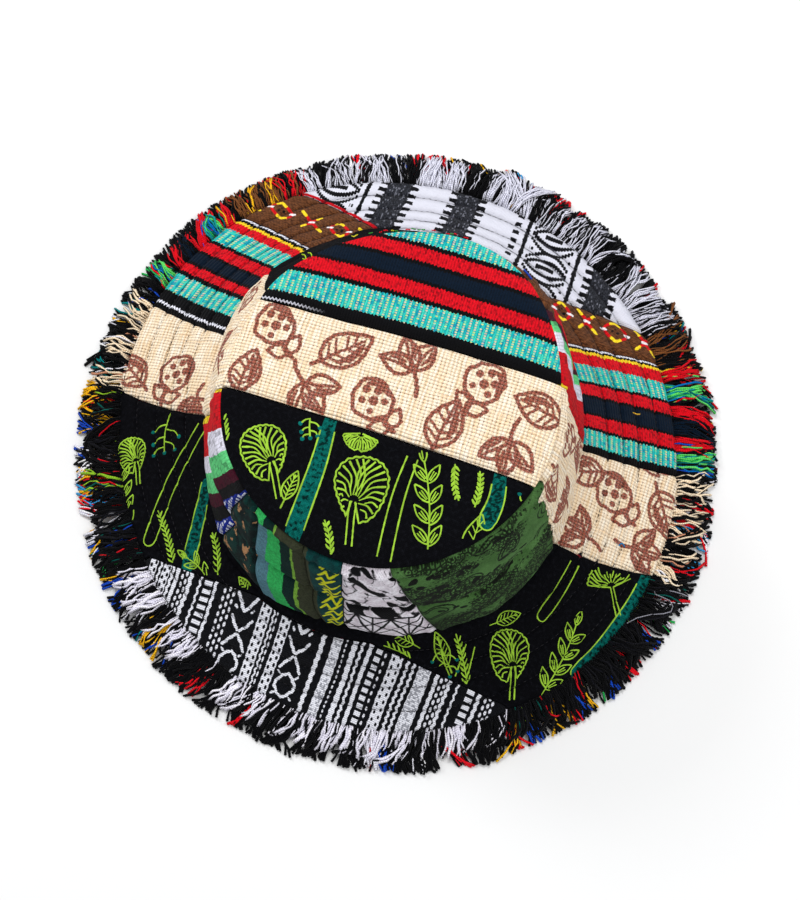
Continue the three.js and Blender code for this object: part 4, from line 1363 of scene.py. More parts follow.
def weave_look(name):
    k = Look(name, rough=0.92, sheen=0.03, specular=0.05)
    su, sv = k.uv()
    grain = Val(k, k.noise(k.vector(su, sv), 1.2, 2)) - 0.5
    bend = Val(k, k.noise(k.vector(su, sv), 0.045, 1)) - 0.5
    bend2 = Val(k, k.noise(k.vector(sv, su), 0.05, 1)) - 0.5
    u, v = Val(k, su) + bend * 1.6, Val(k, sv) + bend2 * 1.4
    w = None
    for make in (
            lambda: mesh_band(u, v, -84.5, -80.5), lambda: zigzag(u, v, -78.9, 0.5), lambda: mesh_band(u, v, -77.6, -73.6), lambda: zigzag(u, v, -72.4, 0.62),
            lambda: toothed(u, v, -69.9, 1.0), lambda: dots(u, v, -67.1), lambda: dots(u, v, -65.1, phase=0.5), lambda: zigzag(u, v, -62.9, 0.95),
            lambda: zigzag(u, v, -57.7, 0.55, 3.5, 0.4), lambda: ladder(u, v, -55.4, -51.2), lambda: zigzag(u, v, -49.5, 0.72, 3.5, 0.3),
            lambda: dots(u, v, -44.4), lambda: dots(u, v, -42.2, phase=0.5), lambda: dots(u, v, -40.0),
            lambda: mesh_band(u, v, -25.5, -20.1), lambda: zigzag(u, v, -18.6, 0.42), lambda: dots(u, v, -17.0, 3.4, 0.42, 1.1, 0.3), lambda: mesh_band(u, v, -14.8, -9.9),
            lambda: zigzag(u, v, 6.5, 0.95, 3.3, 0.3), lambda: toothed(u, v, 13.1, 2.4), lambda: dots(u, v, 17.4, 2.3, 0.4, 0.7),
            lambda: toothed(u, v, 21.2, 1.4, 3.2, 0.5), lambda: zigzag(u, v, 24.5, 0.6), lambda: toothed(u, v, 28.1, 1.1, 3.4, 0.35),
            lambda: ladder(u, v, 30.9, 33.7, 3.5, 1.05), lambda: dots(u, v, 35.5, 3.4, 0.5, 0.9), lambda: mesh_band(u, v, 38.0, 43.6, 2, 3.4, (0.6, 0.85)),
            lambda: zigzag(u, v, 46.0, 0.62, 3.0, 0.4), lambda: zigzag(u, v, 48.9, 0.6, 3.0, 0.4), lambda: toothed(u, v, 54.3, 3.2),
            lambda: zigzag(u, v, 60.6, 0.85, 3.3, 0.25), lambda: dots(u, v, 63.0), lambda: dots(u, v, 64.9, phase=0.5), lambda: zigzag(u, v, 66.7, 0.75),
            lambda: zigzag(u, v, 70.8, 0.48, 3.3, 0.35), lambda: ladder(u, v, 75.6, 79.0, 3.5, 1.0), lambda: zigzag(u, v, 81.3, 0.8, 3.3, 0.3),
            lambda: dots(u, v, 84.6), lambda: dots(u, v, 86.6, phase=0.5), lambda: dots(u, v, 88.4)):
        d = make()
        w = d if w is None else low(w, d)
    w = low(w, Val(k, k.attribute("figure")))
    picks_, fine = k.wave(sv, 0.85), k.wave(su, 0.7)
    white = k.mix(k.span(picks_, 0.05, 0.5), (176, 178, 206), (248, 249, 255))
    dark = k.mix(k.span(grain.s, -0.2, 0.3), (7, 8, 11), (20, 21, 27))
    colour = k.mix(k.span((w + grain * 0.35).s, 0.13, -0.13), dark, white)
    block = low(abs(u - 13.1) - 2.0, abs(u - 54.3) - 2.8)
    speck = k.math("MULTIPLY", k.span(block.s, 0.1, -0.1), k.span(k.white(k.vector(k.math("FLOOR", k.math("DIVIDE", su, 0.85)), k.math("FLOOR", k.math("DIVIDE", sv, 0.85)))), 0.60, 0.7))
    colour = k.mix(k.math("MULTIPLY", speck, 0.6), colour, (70, 72, 86))
    colour = k.painted_row_shade(k.shade(colour, k.span(fine, 0.0, 0.5, 0.9, 1.0)), 0.62)
    return k.finish(colour, k.math("ADD", fine, picks_), 0.00034, 0.8)


def weave_values(az, r, g, f, top):
    U, V = turned(top[..., 0], top[..., 1], 22.3)
    figure = edge_distance(np.stack([U, V], -1), FIGURES, 3.0) + jitter(U, V, 0.8, 0.8, 13, 0.2)
    return {"figure": figure}, {"figure": 3.0}, np.stack([U, V], -1)


look_weave = weave_look("white_and_black_weave")
o = brim_panel("brim_weave_front", lambda g, f: FRONT_FROM + 0.55 + (FRONT_TO - FRONT_FROM - 1.1) * g + 0 * f,
               lambda az: front_seam(az) + GAP, cloth_edge, 225, 42, weave_values, look_weave)

# ---- black strip round the front
BRIM_BLACK = black_strokes(
    [("sprig", -128, -46, 10, 0.85, False), ("frond", -103, -66, 16, 0.9, False), ("twig", -107, 12, 172, 1.0, False), ("pad", -126, -6, 18, 0.7, False),
     ("pod", -112, -76, 42, 0.62, False), ("short frond", -82, -6, 188, 0.8, False), ("twig", -136, -18, 150, 0.7, True), ("short sprig", -86, -70, 46, 0.7, False),
     ("frond", 34, -128, 12, 0.92, False), ("pad", 52, -103, 8, 0.9, False), ("twig", 20, -98, 196, 0.8, False), ("sprig", 66, -122, -26, 0.9, False),
     ("short frond", 126, -64, 190, 0.9, False), ("pod", 106, -112, -44, 0.7, False), ("fan", 101, -71, 14, 0.85, False),
     ("short frond", 12, -110, 62, 0.9, False), ("pod", -6, -104, 78, 0.62, False), ("leaf", 24, -108, 30, 0.6, False), ("short frond", -34, -97, 66, 0.6, False),
     ("short frond", -82, -67, 8, 0.85, False), ("short frond", -56, -84, 62, 0.5, False), ("leaf", -66, -77, 40, 0.4, False), ("short frond", -14, -104, 74, 0.6, False), ("leaf", 8, -100, 70, 0.5, False), ("leaf", 46, -90, -62, 0.5, False)],
    [([(-87, -26), (-91, -42), (-97, -62)], 3.0, True), ([(-90, 2), (-104, -20), (-116, -48)], 2.9, False), ([(122, -56), (112, -76), (96, -98), (84, -110)], 3.1, True),
     ([(34, -100), (31, -110), (26, -124)], 2.5, False), ([(89, -48), (83, -61), (75, -75), (67, -86)], 2.3, False)], 15)


def black_brim_values(az, r, g, f, top):
    X, Y = top[..., 0], top[..., 1]
    U, V = turned(X, Y, 18.4)
    values, back = black_values(BRIM_BLACK, np.stack([X, Y], -1))
    return values, back, np.stack([U, V], -1)


def black_outer(az):
    front = front_seam(az) - GAP / 2
    return np.where((az > FRONT_FROM) & (az < FRONT_TO), np.minimum(front, cloth_edge(az)), cloth_edge(az))


def black_azimuth(g, f):
    (li, lo), (ri, ro) = BRIM_SEAMS["hemp_left"], BRIM_SEAMS["hemp_right"]
    start, end = li + (lo - li) * f + SEAM_TRIM, ri + (ro - ri) * f - SEAM_TRIM + 360
    # three runs, so that columns fall on both ends of the front seam
    a, b = FRONT_FROM, FRONT_TO
    n = g.shape[1]
    k1, k2 = int(n * 0.24), int(n * 0.74)
    idx = np.arange(n)[None, :]
    t1 = np.clip(idx / k1, 0, 1)
    t2 = np.clip((idx - k1) / (k2 - k1), 0, 1)
    t3 = np.clip((idx - k2) / (n - 1 - k2), 0, 1)
    return start + (a - start) * t1 + (b - a) * t2 + (end - b) * t3


o = brim_panel("brim_black", black_azimuth, inner_edge, black_outer, 240, 44, black_brim_values, look_black)


# ---- lower cloth of the brim: dark, quilted, seen from below
def brim_under():
    cols, rows = ((540, 30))
    az = np.arange(cols)[None, :] * 360.0 / cols
    f = np.linspace(0, 1, rows)[:, None]
    inner, outer = inner_edge(az) - 0.2, cloth_edge(az)
    r = inner + (outer - inner) * f
    z = brim_z(az, brim_share(az, r)) - BRIM_CLOTH - GAP
    groove = np.zeros_like(z)
    for row in STITCH_ROWS:
        groove = groove + np.exp(-((outer - r - row) / 1.2) ** 2)
    pucker = noise(np.radians(az) * 120 / 3.2, r / 8, 71)
    bottom = point(az, r, z - BRIM_CLOTH + 0.55 * groove + 0.16 * pucker)
    top = point(az, r, np.minimum(z, z - 0.35 * groove))
    uv = np.stack([r + 0 * az, np.radians(az) * 118 + 0 * r], -1)
    obj = cloth_panel("brim_under", bottom, top, {}, uv, coarse=6, wrap=True)
    obj.data.materials.append(under_look("dark_under_cloth"))
    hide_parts("brim_under")
    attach(obj, "root")


brim_under()

# ---------------------------------------------------------------- crown side wall
WALL = [("wall_brown", 40.1, 27.6), ("wall_back_black", 66.0, 62.0), ("wall_hemp_left", 127.5, 144.8), ("wall_stripe_left", 177.3, 181.6),
        ("wall_camo", 212.4, 217.5), ("wall_green_stripe", 231.0, 222.8), ("wall_teal", 249.5, 241.4), ("wall_white_print", 255.9, 254.2),
        ("wall_olive", 281.4, 268.4), ("wall_hemp_right", 322.7, 323.1), ("wall_stripe_right", 353.9, 359.0)]


# On the two woven striped walls the borders miss each other at the slack fold:
# the lower run leans one way and the upper run starts again further along.
JOG = {"wall_stripe_left": (14.0, 14.0, 0.5), "wall_camo": (14.0, 14.0, 0.5), "wall_stripe_right": (-13.6, 17.5, 0.32), "wall_brown": (-13.6, 17.5, 0.32)}
FOLD_AT = 0.47


def border(t, base, top, low=None, high=None, share=1.0):
    """Azimuth of a border at height t, 0 to 1."""
    straight = base + (top - base) * t
    if low is None:
        return straight
    step = np.clip((t - (FOLD_AT - 0.025)) / 0.05, 0, 1)
    step = step * step * (3 - 2 * step)
    broken = (base + low * t) * (1 - step) + (top - high * (1 - t)) * step
    return straight + (broken - straight) * share


def torn(t, name):
    """How far the raw upper edge of the olive patch wanders over the hemp beside it, degrees."""
    if name != "wall_hemp_right":
        return 0.0
    bite = 0.9 * noise(t * 22, 0, 301) + 0.6 * noise(t * 55, 0, 303)
    return (bite + 2.2 * np.exp(-((t - 0.97) / 0.05) ** 2) - 1.2 * np.exp(-((t - 0.84) / 0.05) ** 2)) * np.clip((t - 0.1) / 0.1, 0, 1)


def wall_grid(name, inset_relief=True):
    k = [w[0] for w in WALL].index(name)
    _, b0, t0 = WALL[k]
    after, b1, t1 = WALL[(k + 1) % len(WALL)]
    if b1 < b0:
        b1, t1 = b1 + 360, t1 + 360
    grid = {"wall_back_black": 1.2, "wall_white_print": 0.60, "wall_teal": 0.60, "wall_olive": 0.62}.get(name, 0.74) * 1.0
    cols = max(2, int(max(b1 - b0, t1 - t0) * math.pi / 180 * 90 / grid) // 6) * 6 + 1
    rows = int(78 / grid) // 6 * 6 + 1
    g, t = np.linspace(0, 1, cols)[None, :], np.linspace(0, 1, rows)[:, None]
    lo, hi = border(t, b0, t0, *JOG.get(name, ())) + torn(t, name), border(t, b1, t1, *JOG.get(after, ())) + torn(t, after)
    slack = 0.15 / 75 * 180 / math.pi * 1.3
    az = lo + slack + (hi - lo - 2 * slack) * g
    return az, t, g, (hi - lo)


def wall_surface(az, t, inset=0.0):
    base, top = at("baseR", az), at("topR", az)
    fold = 2.0 * np.exp(-((t - 0.47) / 0.09) ** 2)
    r = base + (top - base) * t + 2.4 * np.sin(np.pi * t) - fold - inset
    foot = brim_z(az, brim_share(az, base - inset)) + GAP
    head = at("topZ", az) - TOP_CLOTH - GAP
    return r, foot + (head - foot) * t


def wall_relief(az, t):
    arc = np.radians(az) * 88
    total = 1.1 * wavy(arc / 30, t * 2.6, 81, 2)
    total = total + 0.45 * wavy(arc / 8, t * 8, 83, 2)
    # slanting slack folds
    total = total + 0.9 * np.sin(arc / 7.5 + 9 * t + 1.5 * noise(arc / 20, t * 2, 85)) * np.exp(-((t - 0.5) / 0.25) ** 2) * 0.7
    crease = FOLD_AT + 0.03 * noise(arc / 22, 0, 87)
    total = total - 1.5 * np.exp(-((t - crease) / 0.022) ** 2) + 0.9 * np.exp(-((t - crease - 0.05) / 0.04) ** 2)
    # rolled fold along the top seam, stitched in under the panel
    tuck = 1 + 0.25 * noise(arc / 3.0, 0, 89)
    calm = np.clip((az % 360 - 42) / 12, 0, 1) * np.clip((112 - az % 360) / 12, 0, 1)
    left = np.clip((az % 360 - 96) / 10, 0, 1) * np.clip((150 - az % 360) / 12, 0, 1)
    total = total - (3.4 * calm + 1.0 * left) * np.sin(np.pi * np.clip(t, 0, 1)) ** 0.6
    total = total + 2.3 * (1 - 0.95 * calm - 0.55 * left) * tuck * np.exp(-((t - 0.955) / 0.036) ** 2) - 1.6 * calm * np.exp(-((t - 0.97) / 0.05) ** 2)
    total = total + 2.4 * np.exp(-((az % 360 - 232) / 15) ** 2) * np.exp(-((t - 0.24) / 0.17) ** 2)
    corner = np.exp(-((az % 360 - 145) / 9) ** 2)
    total = total - 2.4 * corner * np.clip(t * 1.6, 0, 1)
    total = total - 1.3 * np.exp(-((t - 0.895) / 0.022) ** 2)
    total = total - 0.6 * np.exp(-(t / 0.03) ** 2)
    total = total + 0.35 * noise(arc / 2.4, t * 5, 95) * np.exp(-((t - 0.9) / 0.08) ** 2)
    return total


def wall_panel(name, look, attributes):
    az, t, g, width = wall_grid(name)
    r, z = wall_surface(az, t)
    relief = wall_relief(az, t)
    arc = np.radians(width) * r
    for w in (g * arc, (1 - g) * arc):
        relief = relief - 0.9 * np.exp(-(w / 1.1) ** 2) + 0.35 * np.exp(-((w - 3.0) / 1.5) ** 2)
    top = point(az, r + relief, z)
    r2, z2 = wall_surface(az, t, WALL_CLOTH)
    low = point(az, np.minimum(r2, r + relief - 0.6), z2)
    U, V = np.radians(az) * 88, t * 76 + 0 * az
    values, back = attributes(az, t + 0 * az, U, V)
    values, back = dict(values, row=3.0), dict(back or {}, row=3.0)
    obj = cloth_panel(name, top, low, values, np.stack([U, V], -1), back=back)
    obj.data.materials.append(look)
    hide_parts(name)
    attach(obj, "root")
    return obj


# Borders of the fine stripes: (azimuth at the base, azimuth at the top) where each begins
MINT, MAROON, ROYAL, STEEL, BRIGHT, DARK_GREEN = (98, 206, 128), (66, 12, 32), (22, 44, 150), (84, 128, 142), (50, 180, 92), (2, 38, 34)
LEFT_JOG, RIGHT_JOG, TURN_JOG = (14.0, 14.0, 1.0), (-13.6, 17.5, 1.0), (-6.0, 17.5, 1.0)
LEFT_STRIPES = [((176.2, 180.6), (236, 206, 40), LEFT_JOG), ((178.0, 182.4), (200, 16, 28), LEFT_JOG), ((188.3, 194.5), (224, 222, 236), LEFT_JOG), ((193.3, 202.2), MINT, LEFT_JOG),
                ((199.4, 208.6), MAROON, LEFT_JOG), ((203.3, 212.6), BLACK, LEFT_JOG), ((207.1, 216.0), ROYAL, LEFT_JOG)]
RIGHT_STRIPES = [((352.9, 358.2), (236, 206, 40), RIGHT_JOG), ((354.3, 359.6), (200, 16, 28), RIGHT_JOG), ((366.5, 371.4), (224, 222, 236), TURN_JOG), ((371.5, 378.9), MINT, TURN_JOG), ((374.5, 382.9), MAROON, TURN_JOG), ((376.0, 400.0), (200, 16, 28), TURN_JOG)]
GREEN_STRIPES = [((229.0, 220.5), STEEL, ()), ((236.7, 226.6), BRIGHT, ()), ((242.3, 231.3), DARK_GREEN, ()), ((245.3, 235.4), (120, 170, 60), ()), ((245.9, 236.1), (54, 58, 40), ())]


def border_values(stripes, roll=0.0):
    """Which stripe a point is in, counting whole stripes, so that borders can slant.
    roll: how far the stripes are shifted, in degrees, on the rolled fold at the top."""
    def attributes(az, t, U, V):
        n = len(stripes)
        band = np.zeros_like(az)
        rag = jitter(U * 0, V, 9, 0.9, 21, 0.35)
        shift = roll * np.clip((t - 0.905) / 0.01, 0, 1)
        edges = [border(t, b, p, *jog) + 0.25 * np.sin(t * 7 + k) + 0.7 * rag + shift for k, ((b, p), _, jog) in enumerate(stripes)]
        edges.append(edges[-1] + 12)
        for k in range(n):
            f = np.clip((az - edges[k]) / np.maximum(0.01, edges[k + 1] - edges[k]), 0, 0.9999)
            band = np.where(az >= edges[k], k + f, band)
        return {"band": np.clip(band / n, 0, 0.9999)}, None
    return attributes


def side_stripe_look(name, stripes, check=False, coarse=False):
    n = len(stripes)
    k = Look(name)
    u, v = k.uv()
    band = k.attribute("band")
    grain = k.noise(k.vector(u, v), 1.1, 3, 0.6)
    colour = k.ramp(band, [(i / n, c) for i, (_, c, _) in enumerate(stripes)])
    if check:
        x = k.math("FRACT", k.math("DIVIDE", u, 3.6))
        y = k.math("FRACT", k.math("DIVIDE", v, 3.4))
        c = k.math("MULTIPLY", k.span(x, 0.40, 0.46), k.span(y, 0.40, 0.46))
        there = k.span(band, (n - 1) / n + 0.005, (n - 1) / n + 0.01)
        far = k.span(band, (n - 1) / n + 0.06, (n - 1) / n + 0.055)
        colour = k.mix(k.math("MULTIPLY", k.math("MULTIPLY", c, there), far), colour, (222, 226, 240))
    # threads run along the stripe's long side; dark ones show through
    threads = k.wave(v, 0.62)
    dash = k.white(k.vector(k.math("FLOOR", k.math("DIVIDE", u, 1.9)), k.math("FLOOR", k.math("DIVIDE", v, 0.95))))
    colour = k.mix(k.math("MULTIPLY", k.span(dash, 0.84, 0.9), 0.5 if coarse else 0.15), colour, (16, 12, 16))
    tone = k.math("MULTIPLY", k.span(threads, 0, 0.6, 0.74, 1.05), k.span(grain, 0.25, 0.75, 0.78, 1.14))
    if coarse:
        tone = k.math("MULTIPLY", tone, k.span(k.wave(u, 1.9), 0.0, 0.5, 0.72, 1.03))
    else:
        slant = k.wave(k.math("MULTIPLY_ADD", v, 0.7, u), 1.05)
        tone = k.math("MULTIPLY", tone, k.span(slant, 0.1, 0.6, 0.80, 1.05))
        knot = k.white(k.vector(k.math("FLOOR", k.math("DIVIDE", u, 0.8)), k.math("FLOOR", k.math("DIVIDE", v, 0.8))))
        tone = k.math("MULTIPLY", tone, k.span(knot, 0.1, 0.9, 0.84, 1.1))
    colour = k.shade(colour, tone)
    return k.finish(colour, k.math("MULTIPLY_ADD", grain, 0.6, threads), 0.0004, 0.8)


wall_panel("wall_stripe_left", side_stripe_look("fine_stripes_left", LEFT_STRIPES, True, True), border_values(LEFT_STRIPES))
wall_panel("wall_stripe_right", side_stripe_look("fine_stripes_right", RIGHT_STRIPES, False, True), border_values(RIGHT_STRIPES))
wall_panel("wall_green_stripe", side_stripe_look("green_stripes", GREEN_STRIPES), border_values(GREEN_STRIPES, -4.5))


def blot_look(name, base, blots, scale, low, high, pale=None):
    k = Look(name)
    u, v = k.uv()
    n = k.noise(k.vector(u, v), scale, 3, 0.55)
    fine = k.noise(k.vector(u, v), 1.0, 3, 0.6)
    colour = k.mix(k.span(n, low, high), base, blots)
    if pale:
        m = k.noise(k.vector(k.math("MULTIPLY", v, 0.7), u), scale * 1.35, 3, 0.6)
        colour = k.mix(k.span(m, 0.575, 0.60), colour, pale)
        colour = k.mix(k.span(m, 0.65, 0.67), colour, blots)
    weave = k.plain_weave(u, v, 0.6)
    colour = k.shade(colour, k.span(fine, 0.25, 0.75, 0.75, 1.2))
    return k.finish(colour, k.math("ADD", weave, fine), 0.0003, 0.7)


def no_values(az, t, U, V):
    return {}, None


wall_panel("wall_camo", blot_look("dark_blotched_cotton", (4, 44, 40), (3, 20, 20), 0.13, 0.45, 0.55, (166, 122, 84)), no_values)


def drawn_look(name, base, base2, key, ink, scale=0.2, soft=0.18, second=None):
    k = Look(name)
    u, v = k.uv()
    fine = k.noise(k.vector(u, v), 1.0, 3, 0.6)
    broad = k.noise(k.vector(u, v), scale, 3, 0.55)
    grain = k.math("SUBTRACT", fine, 0.5)
    colour = k.mix(k.span(broad, 0.35, 0.65), base, base2)
    if second:
        colour = k.mix(k.inside(second[0], 0.3, 1.4, grain), colour, second[1])
    colour = k.mix(k.inside(key, soft, 0.6, grain), colour, ink)
    weave = k.plain_weave(u, v, 0.6)
    colour = k.shade(colour, k.span(fine, 0.25, 0.75, 0.76, 1.16))
    return k.finish(colour, k.math("ADD", weave, fine), 0.0003, 0.7)


def teal_values(az, t, U, V):
    rng = np.random.default_rng(12)
    c = np.radians(253.2) * 88
    strokes = []
    for row in range(13):
        y = 4 + row * 5.4
        x = c + rng.uniform(-1.5, 1.5) - 0.11 * (y - 20)
        zig = [(x - 4.2 + 2.4 * j + rng.uniform(-0.4, 0.4), y + (2.1 if j % 2 else -1.8) + rng.uniform(-0.5, 0.5)) for j in range(4)]
        strokes.append((np.array(zig), 0.62))
        strokes.append((np.array([(x + 3.1, y + 2.2), (x + 4.3, y + 3.1)]), 0.5))
        strokes.append((np.array([(x - 3.6, y + 2.6), (x - 2.8, y + 3.4)]), 0.45))
    # the edge beside the striped piece is olive
    edge = border(t, 249.5, 241.4)
    olive = np.minimum((az - edge - 1.6), 3.0) * 1.4
    return {"mark": edge_distance(np.stack([U, V], -1), strokes), "olive": olive}, {"mark": 3.0, "olive": 3.0}


wall_panel("wall_teal", drawn_look("teal_cotton_with_zigzags", (3, 40, 42), (5, 62, 60), "mark", (196, 200, 28), second=("olive", (52, 56, 38))), teal_values)


def white_values(az, t, U, V):
    """Straight lines fanning over the lower part, broad black folds above."""
    c0, c1 = np.radians(256) * 88, np.radians(283) * 88
    strokes = []
    feet = [c0 - 2, c0 + 12, c0 + 27, c0 + 42]
    heads = [c0 - 9, c0 + 5, c0 + 19.5, c0 + 34.5, c0 + 48]
    for i, x in enumerate(feet):
        for y, h in enumerate(heads[max(0, i - 1):i + 3]):
            strokes.append(([(x, 1.5), (h, 27.0)], 0.5))
        for dx in (-5.2, 0, 5.2):
            strokes.append(([(x, 1.5), (x + dx, 27.0 if dx == 0 else 18.0)], 0.4))
    for a, b in zip(heads[:-1], heads[1:]):
        m = 0.5 * (a + b)
        strokes += [([(a, 27.0), (m, 19.0), (b, 27.0)], 0.42), ([(a, 27.0), (a + 3.5, 12.5), (m, 19.0), (b - 3.5, 12.5), (b, 27.0)], 0.36)]
    strokes += [([(c0 - 8, 1.6), (c1 + 6, 1.6)], 0.5), ([(c0 - 8, 27.5), (c1 + 6, 26.5)], 0.7)]
    d = edge_distance(np.stack([U, V], -1), strokes, 3.0)
    lower = np.where(V < 28.0, d, 3.0)
    fold = wavy(U / 6.4 + V / 6.4, V / 22 - U / 20, 91, 2)
    upper = np.where(V >= 27.5, (0.17 - fold) * 4.0, 3.0)
    nets = np.where(V >= 27.5, np.abs(wavy(U / 3.4 + V / 5, V / 7.0 - U / 12, 97, 1)) * 2.4 - 0.24, 3.0)
    return {"mark": np.minimum.reduce([lower, upper, nets])}, {"mark": 3.0}


wall_panel("wall_white_print", drawn_look("white_cotton_with_black_lines", (200, 190, 200), (232, 228, 236), "mark", (10, 10, 13)), white_values)


def olive_values(az, t, U, V):
    rng = np.random.default_rng(31)
    strokes, spots = [], []
    lo, hi = np.radians(262) * 88, np.radians(326) * 88
    for _ in range(60):
        x, y = rng.uniform(lo, hi), rng.uniform(6, 72)
        if all((x - a) ** 2 + (y - b) ** 2 > 15 ** 2 for a, b in spots):
            spots.append((x, y))
    for x, y in spots:
        t_ = np.linspace(0, 2 * np.pi, 20)
        rx, ry, turn = rng.uniform(4.5, 7.5), rng.uniform(2.4, 3.6), rng.uniform(-0.5, 0.9)
        m = np.array([[math.cos(turn), math.sin(turn)], [-math.sin(turn), math.cos(turn)]])
        for grow in (1.0, 1.45):
            strokes.append((np.stack([rx * grow * np.cos(t_), ry * grow * np.sin(t_)], -1) @ m + [x, y], 0.42))
    # solid spots, thick where the cloth is at the upper left
    for _ in range(260):
        x, y = rng.uniform(lo, hi), rng.uniform(26, 74)
        if (x - lo) / (hi - lo) < rng.uniform(0, 0.9):
            strokes.append(([(x - 0.9, y), (x + rng.uniform(0.2, 1.8), y + rng.uniform(-0.4, 0.6))], rng.uniform(0.7, 1.35)))
    where = np.clip(0.5 - 0.9 * wavy(U / 17, V / 13, 35, 2) + 0.35 * (V < 30) - 0.2 * np.clip((U - np.radians(300) * 88) / 18, 0, 1), 0, 1)
    # painted shade: darker low on the wall, towards its left side
    shade_ = np.clip((34 - V) / 16, 0, 1) * np.clip((np.radians(292) * 88 - U) / 18, 0, 1)
    return {"mark": edge_distance(np.stack([U, V], -1), strokes), "cells": where, "shade": shade_}, {"mark": 3.0, "cells": 0.0, "shade": 0.0}


def olive_look(name):
    k = Look(name)
    u, v = k.uv()
    vec = k.vector(u, k.math("MULTIPLY", v, 1.25))
    fine = k.noise(k.vector(u, v), 1.0, 3, 0.6)
    broad = k.noise(k.vector(u, v), 0.08, 2)
    colour = k.mix(k.span(broad, 0.35, 0.65), (58, 92, 46), (74, 112, 60))
    # painted shade from the attribute shade: darker low down at the left
    colour = k.mix(k.math("MULTIPLY", k.attribute("shade"), 0.7), colour, (26, 42, 20))
    cell = k.node("ShaderNodeTexVoronoi", feature="DISTANCE_TO_EDGE", voronoi_dimensions="2D")
    k.put(cell.inputs["Vector"], vec)
    cell.inputs["Scale"].default_value = 0.42
    spot = k.node("ShaderNodeTexVoronoi", feature="F1", voronoi_dimensions="2D")
    k.put(spot.inputs["Vector"], vec)
    spot.inputs["Scale"].default_value = 0.42
    line = k.span(k.math("MULTIPLY_ADD", fine, 0.12, cell.outputs["Distance"]), 0.30, 0.20)
    dot = k.span(spot.outputs["Distance"], 0.30, 0.20)
    there = k.span(k.attribute("cells"), 0.42, 0.62)
    colour = k.mix(k.math("MULTIPLY", k.math("MULTIPLY", line, there), 0.9), colour, (12, 17, 10))
    few = k.span(k.attribute("cells"), 0.28, 0.4)
    colour = k.mix(k.math("MULTIPLY", k.math("MULTIPLY", dot, few), 0.85), colour, (12, 17, 10))
    colour = k.mix(k.inside("mark", 0.2, 0.5, k.math("SUBTRACT", fine, 0.5)), colour, (12, 17, 10))
    weave = k.plain_weave(u, v, 0.6)
    colour = k.shade(colour, k.span(fine, 0.25, 0.75, 0.78, 1.16))
    return k.finish(colour, k.math("ADD", weave, fine), 0.0003, 0.7)


wall_panel("wall_olive", olive_look("olive_cotton_printed"), olive_values)


def hemp_wall_values(spots):
    strokes = hemp_strokes(spots)

    def attributes(az, t, U, V):
        return {"ink": edge_distance(np.stack([U, V], -1), strokes)}, {"ink": 3.0}
    return attributes


def on_wall(deg):
    return math.radians(deg) * 88


wall_panel("wall_hemp_left", look_hemp, hemp_wall_values([("pod", on_wall(150), 56, 30, 0.9), ("leaf", on_wall(168), 58, 160, 0.9), ("trio", on_wall(160), 24, 0, 0.9),
                                                         ("pod", on_wall(140), 20, -40, 0.9)]))
wall_panel("wall_hemp_right", look_hemp, hemp_wall_values([("leaf", on_wall(330), 60, 170, 0.95), ("pod", on_wall(346), 54, 20, 0.9), ("trio", on_wall(332), 26, 10, 0.9),
                                                          ("leaf", on_wall(349), 22, 120, 0.8)]))
look_brown_plain = brown_look("brown_plain_cloth", False)
look_black_plain = black_look("black_plain_cotton", False)
wall_panel("wall_brown", look_brown_plain, no_values)
wall_panel("wall_back_black", look_black_plain, no_values)


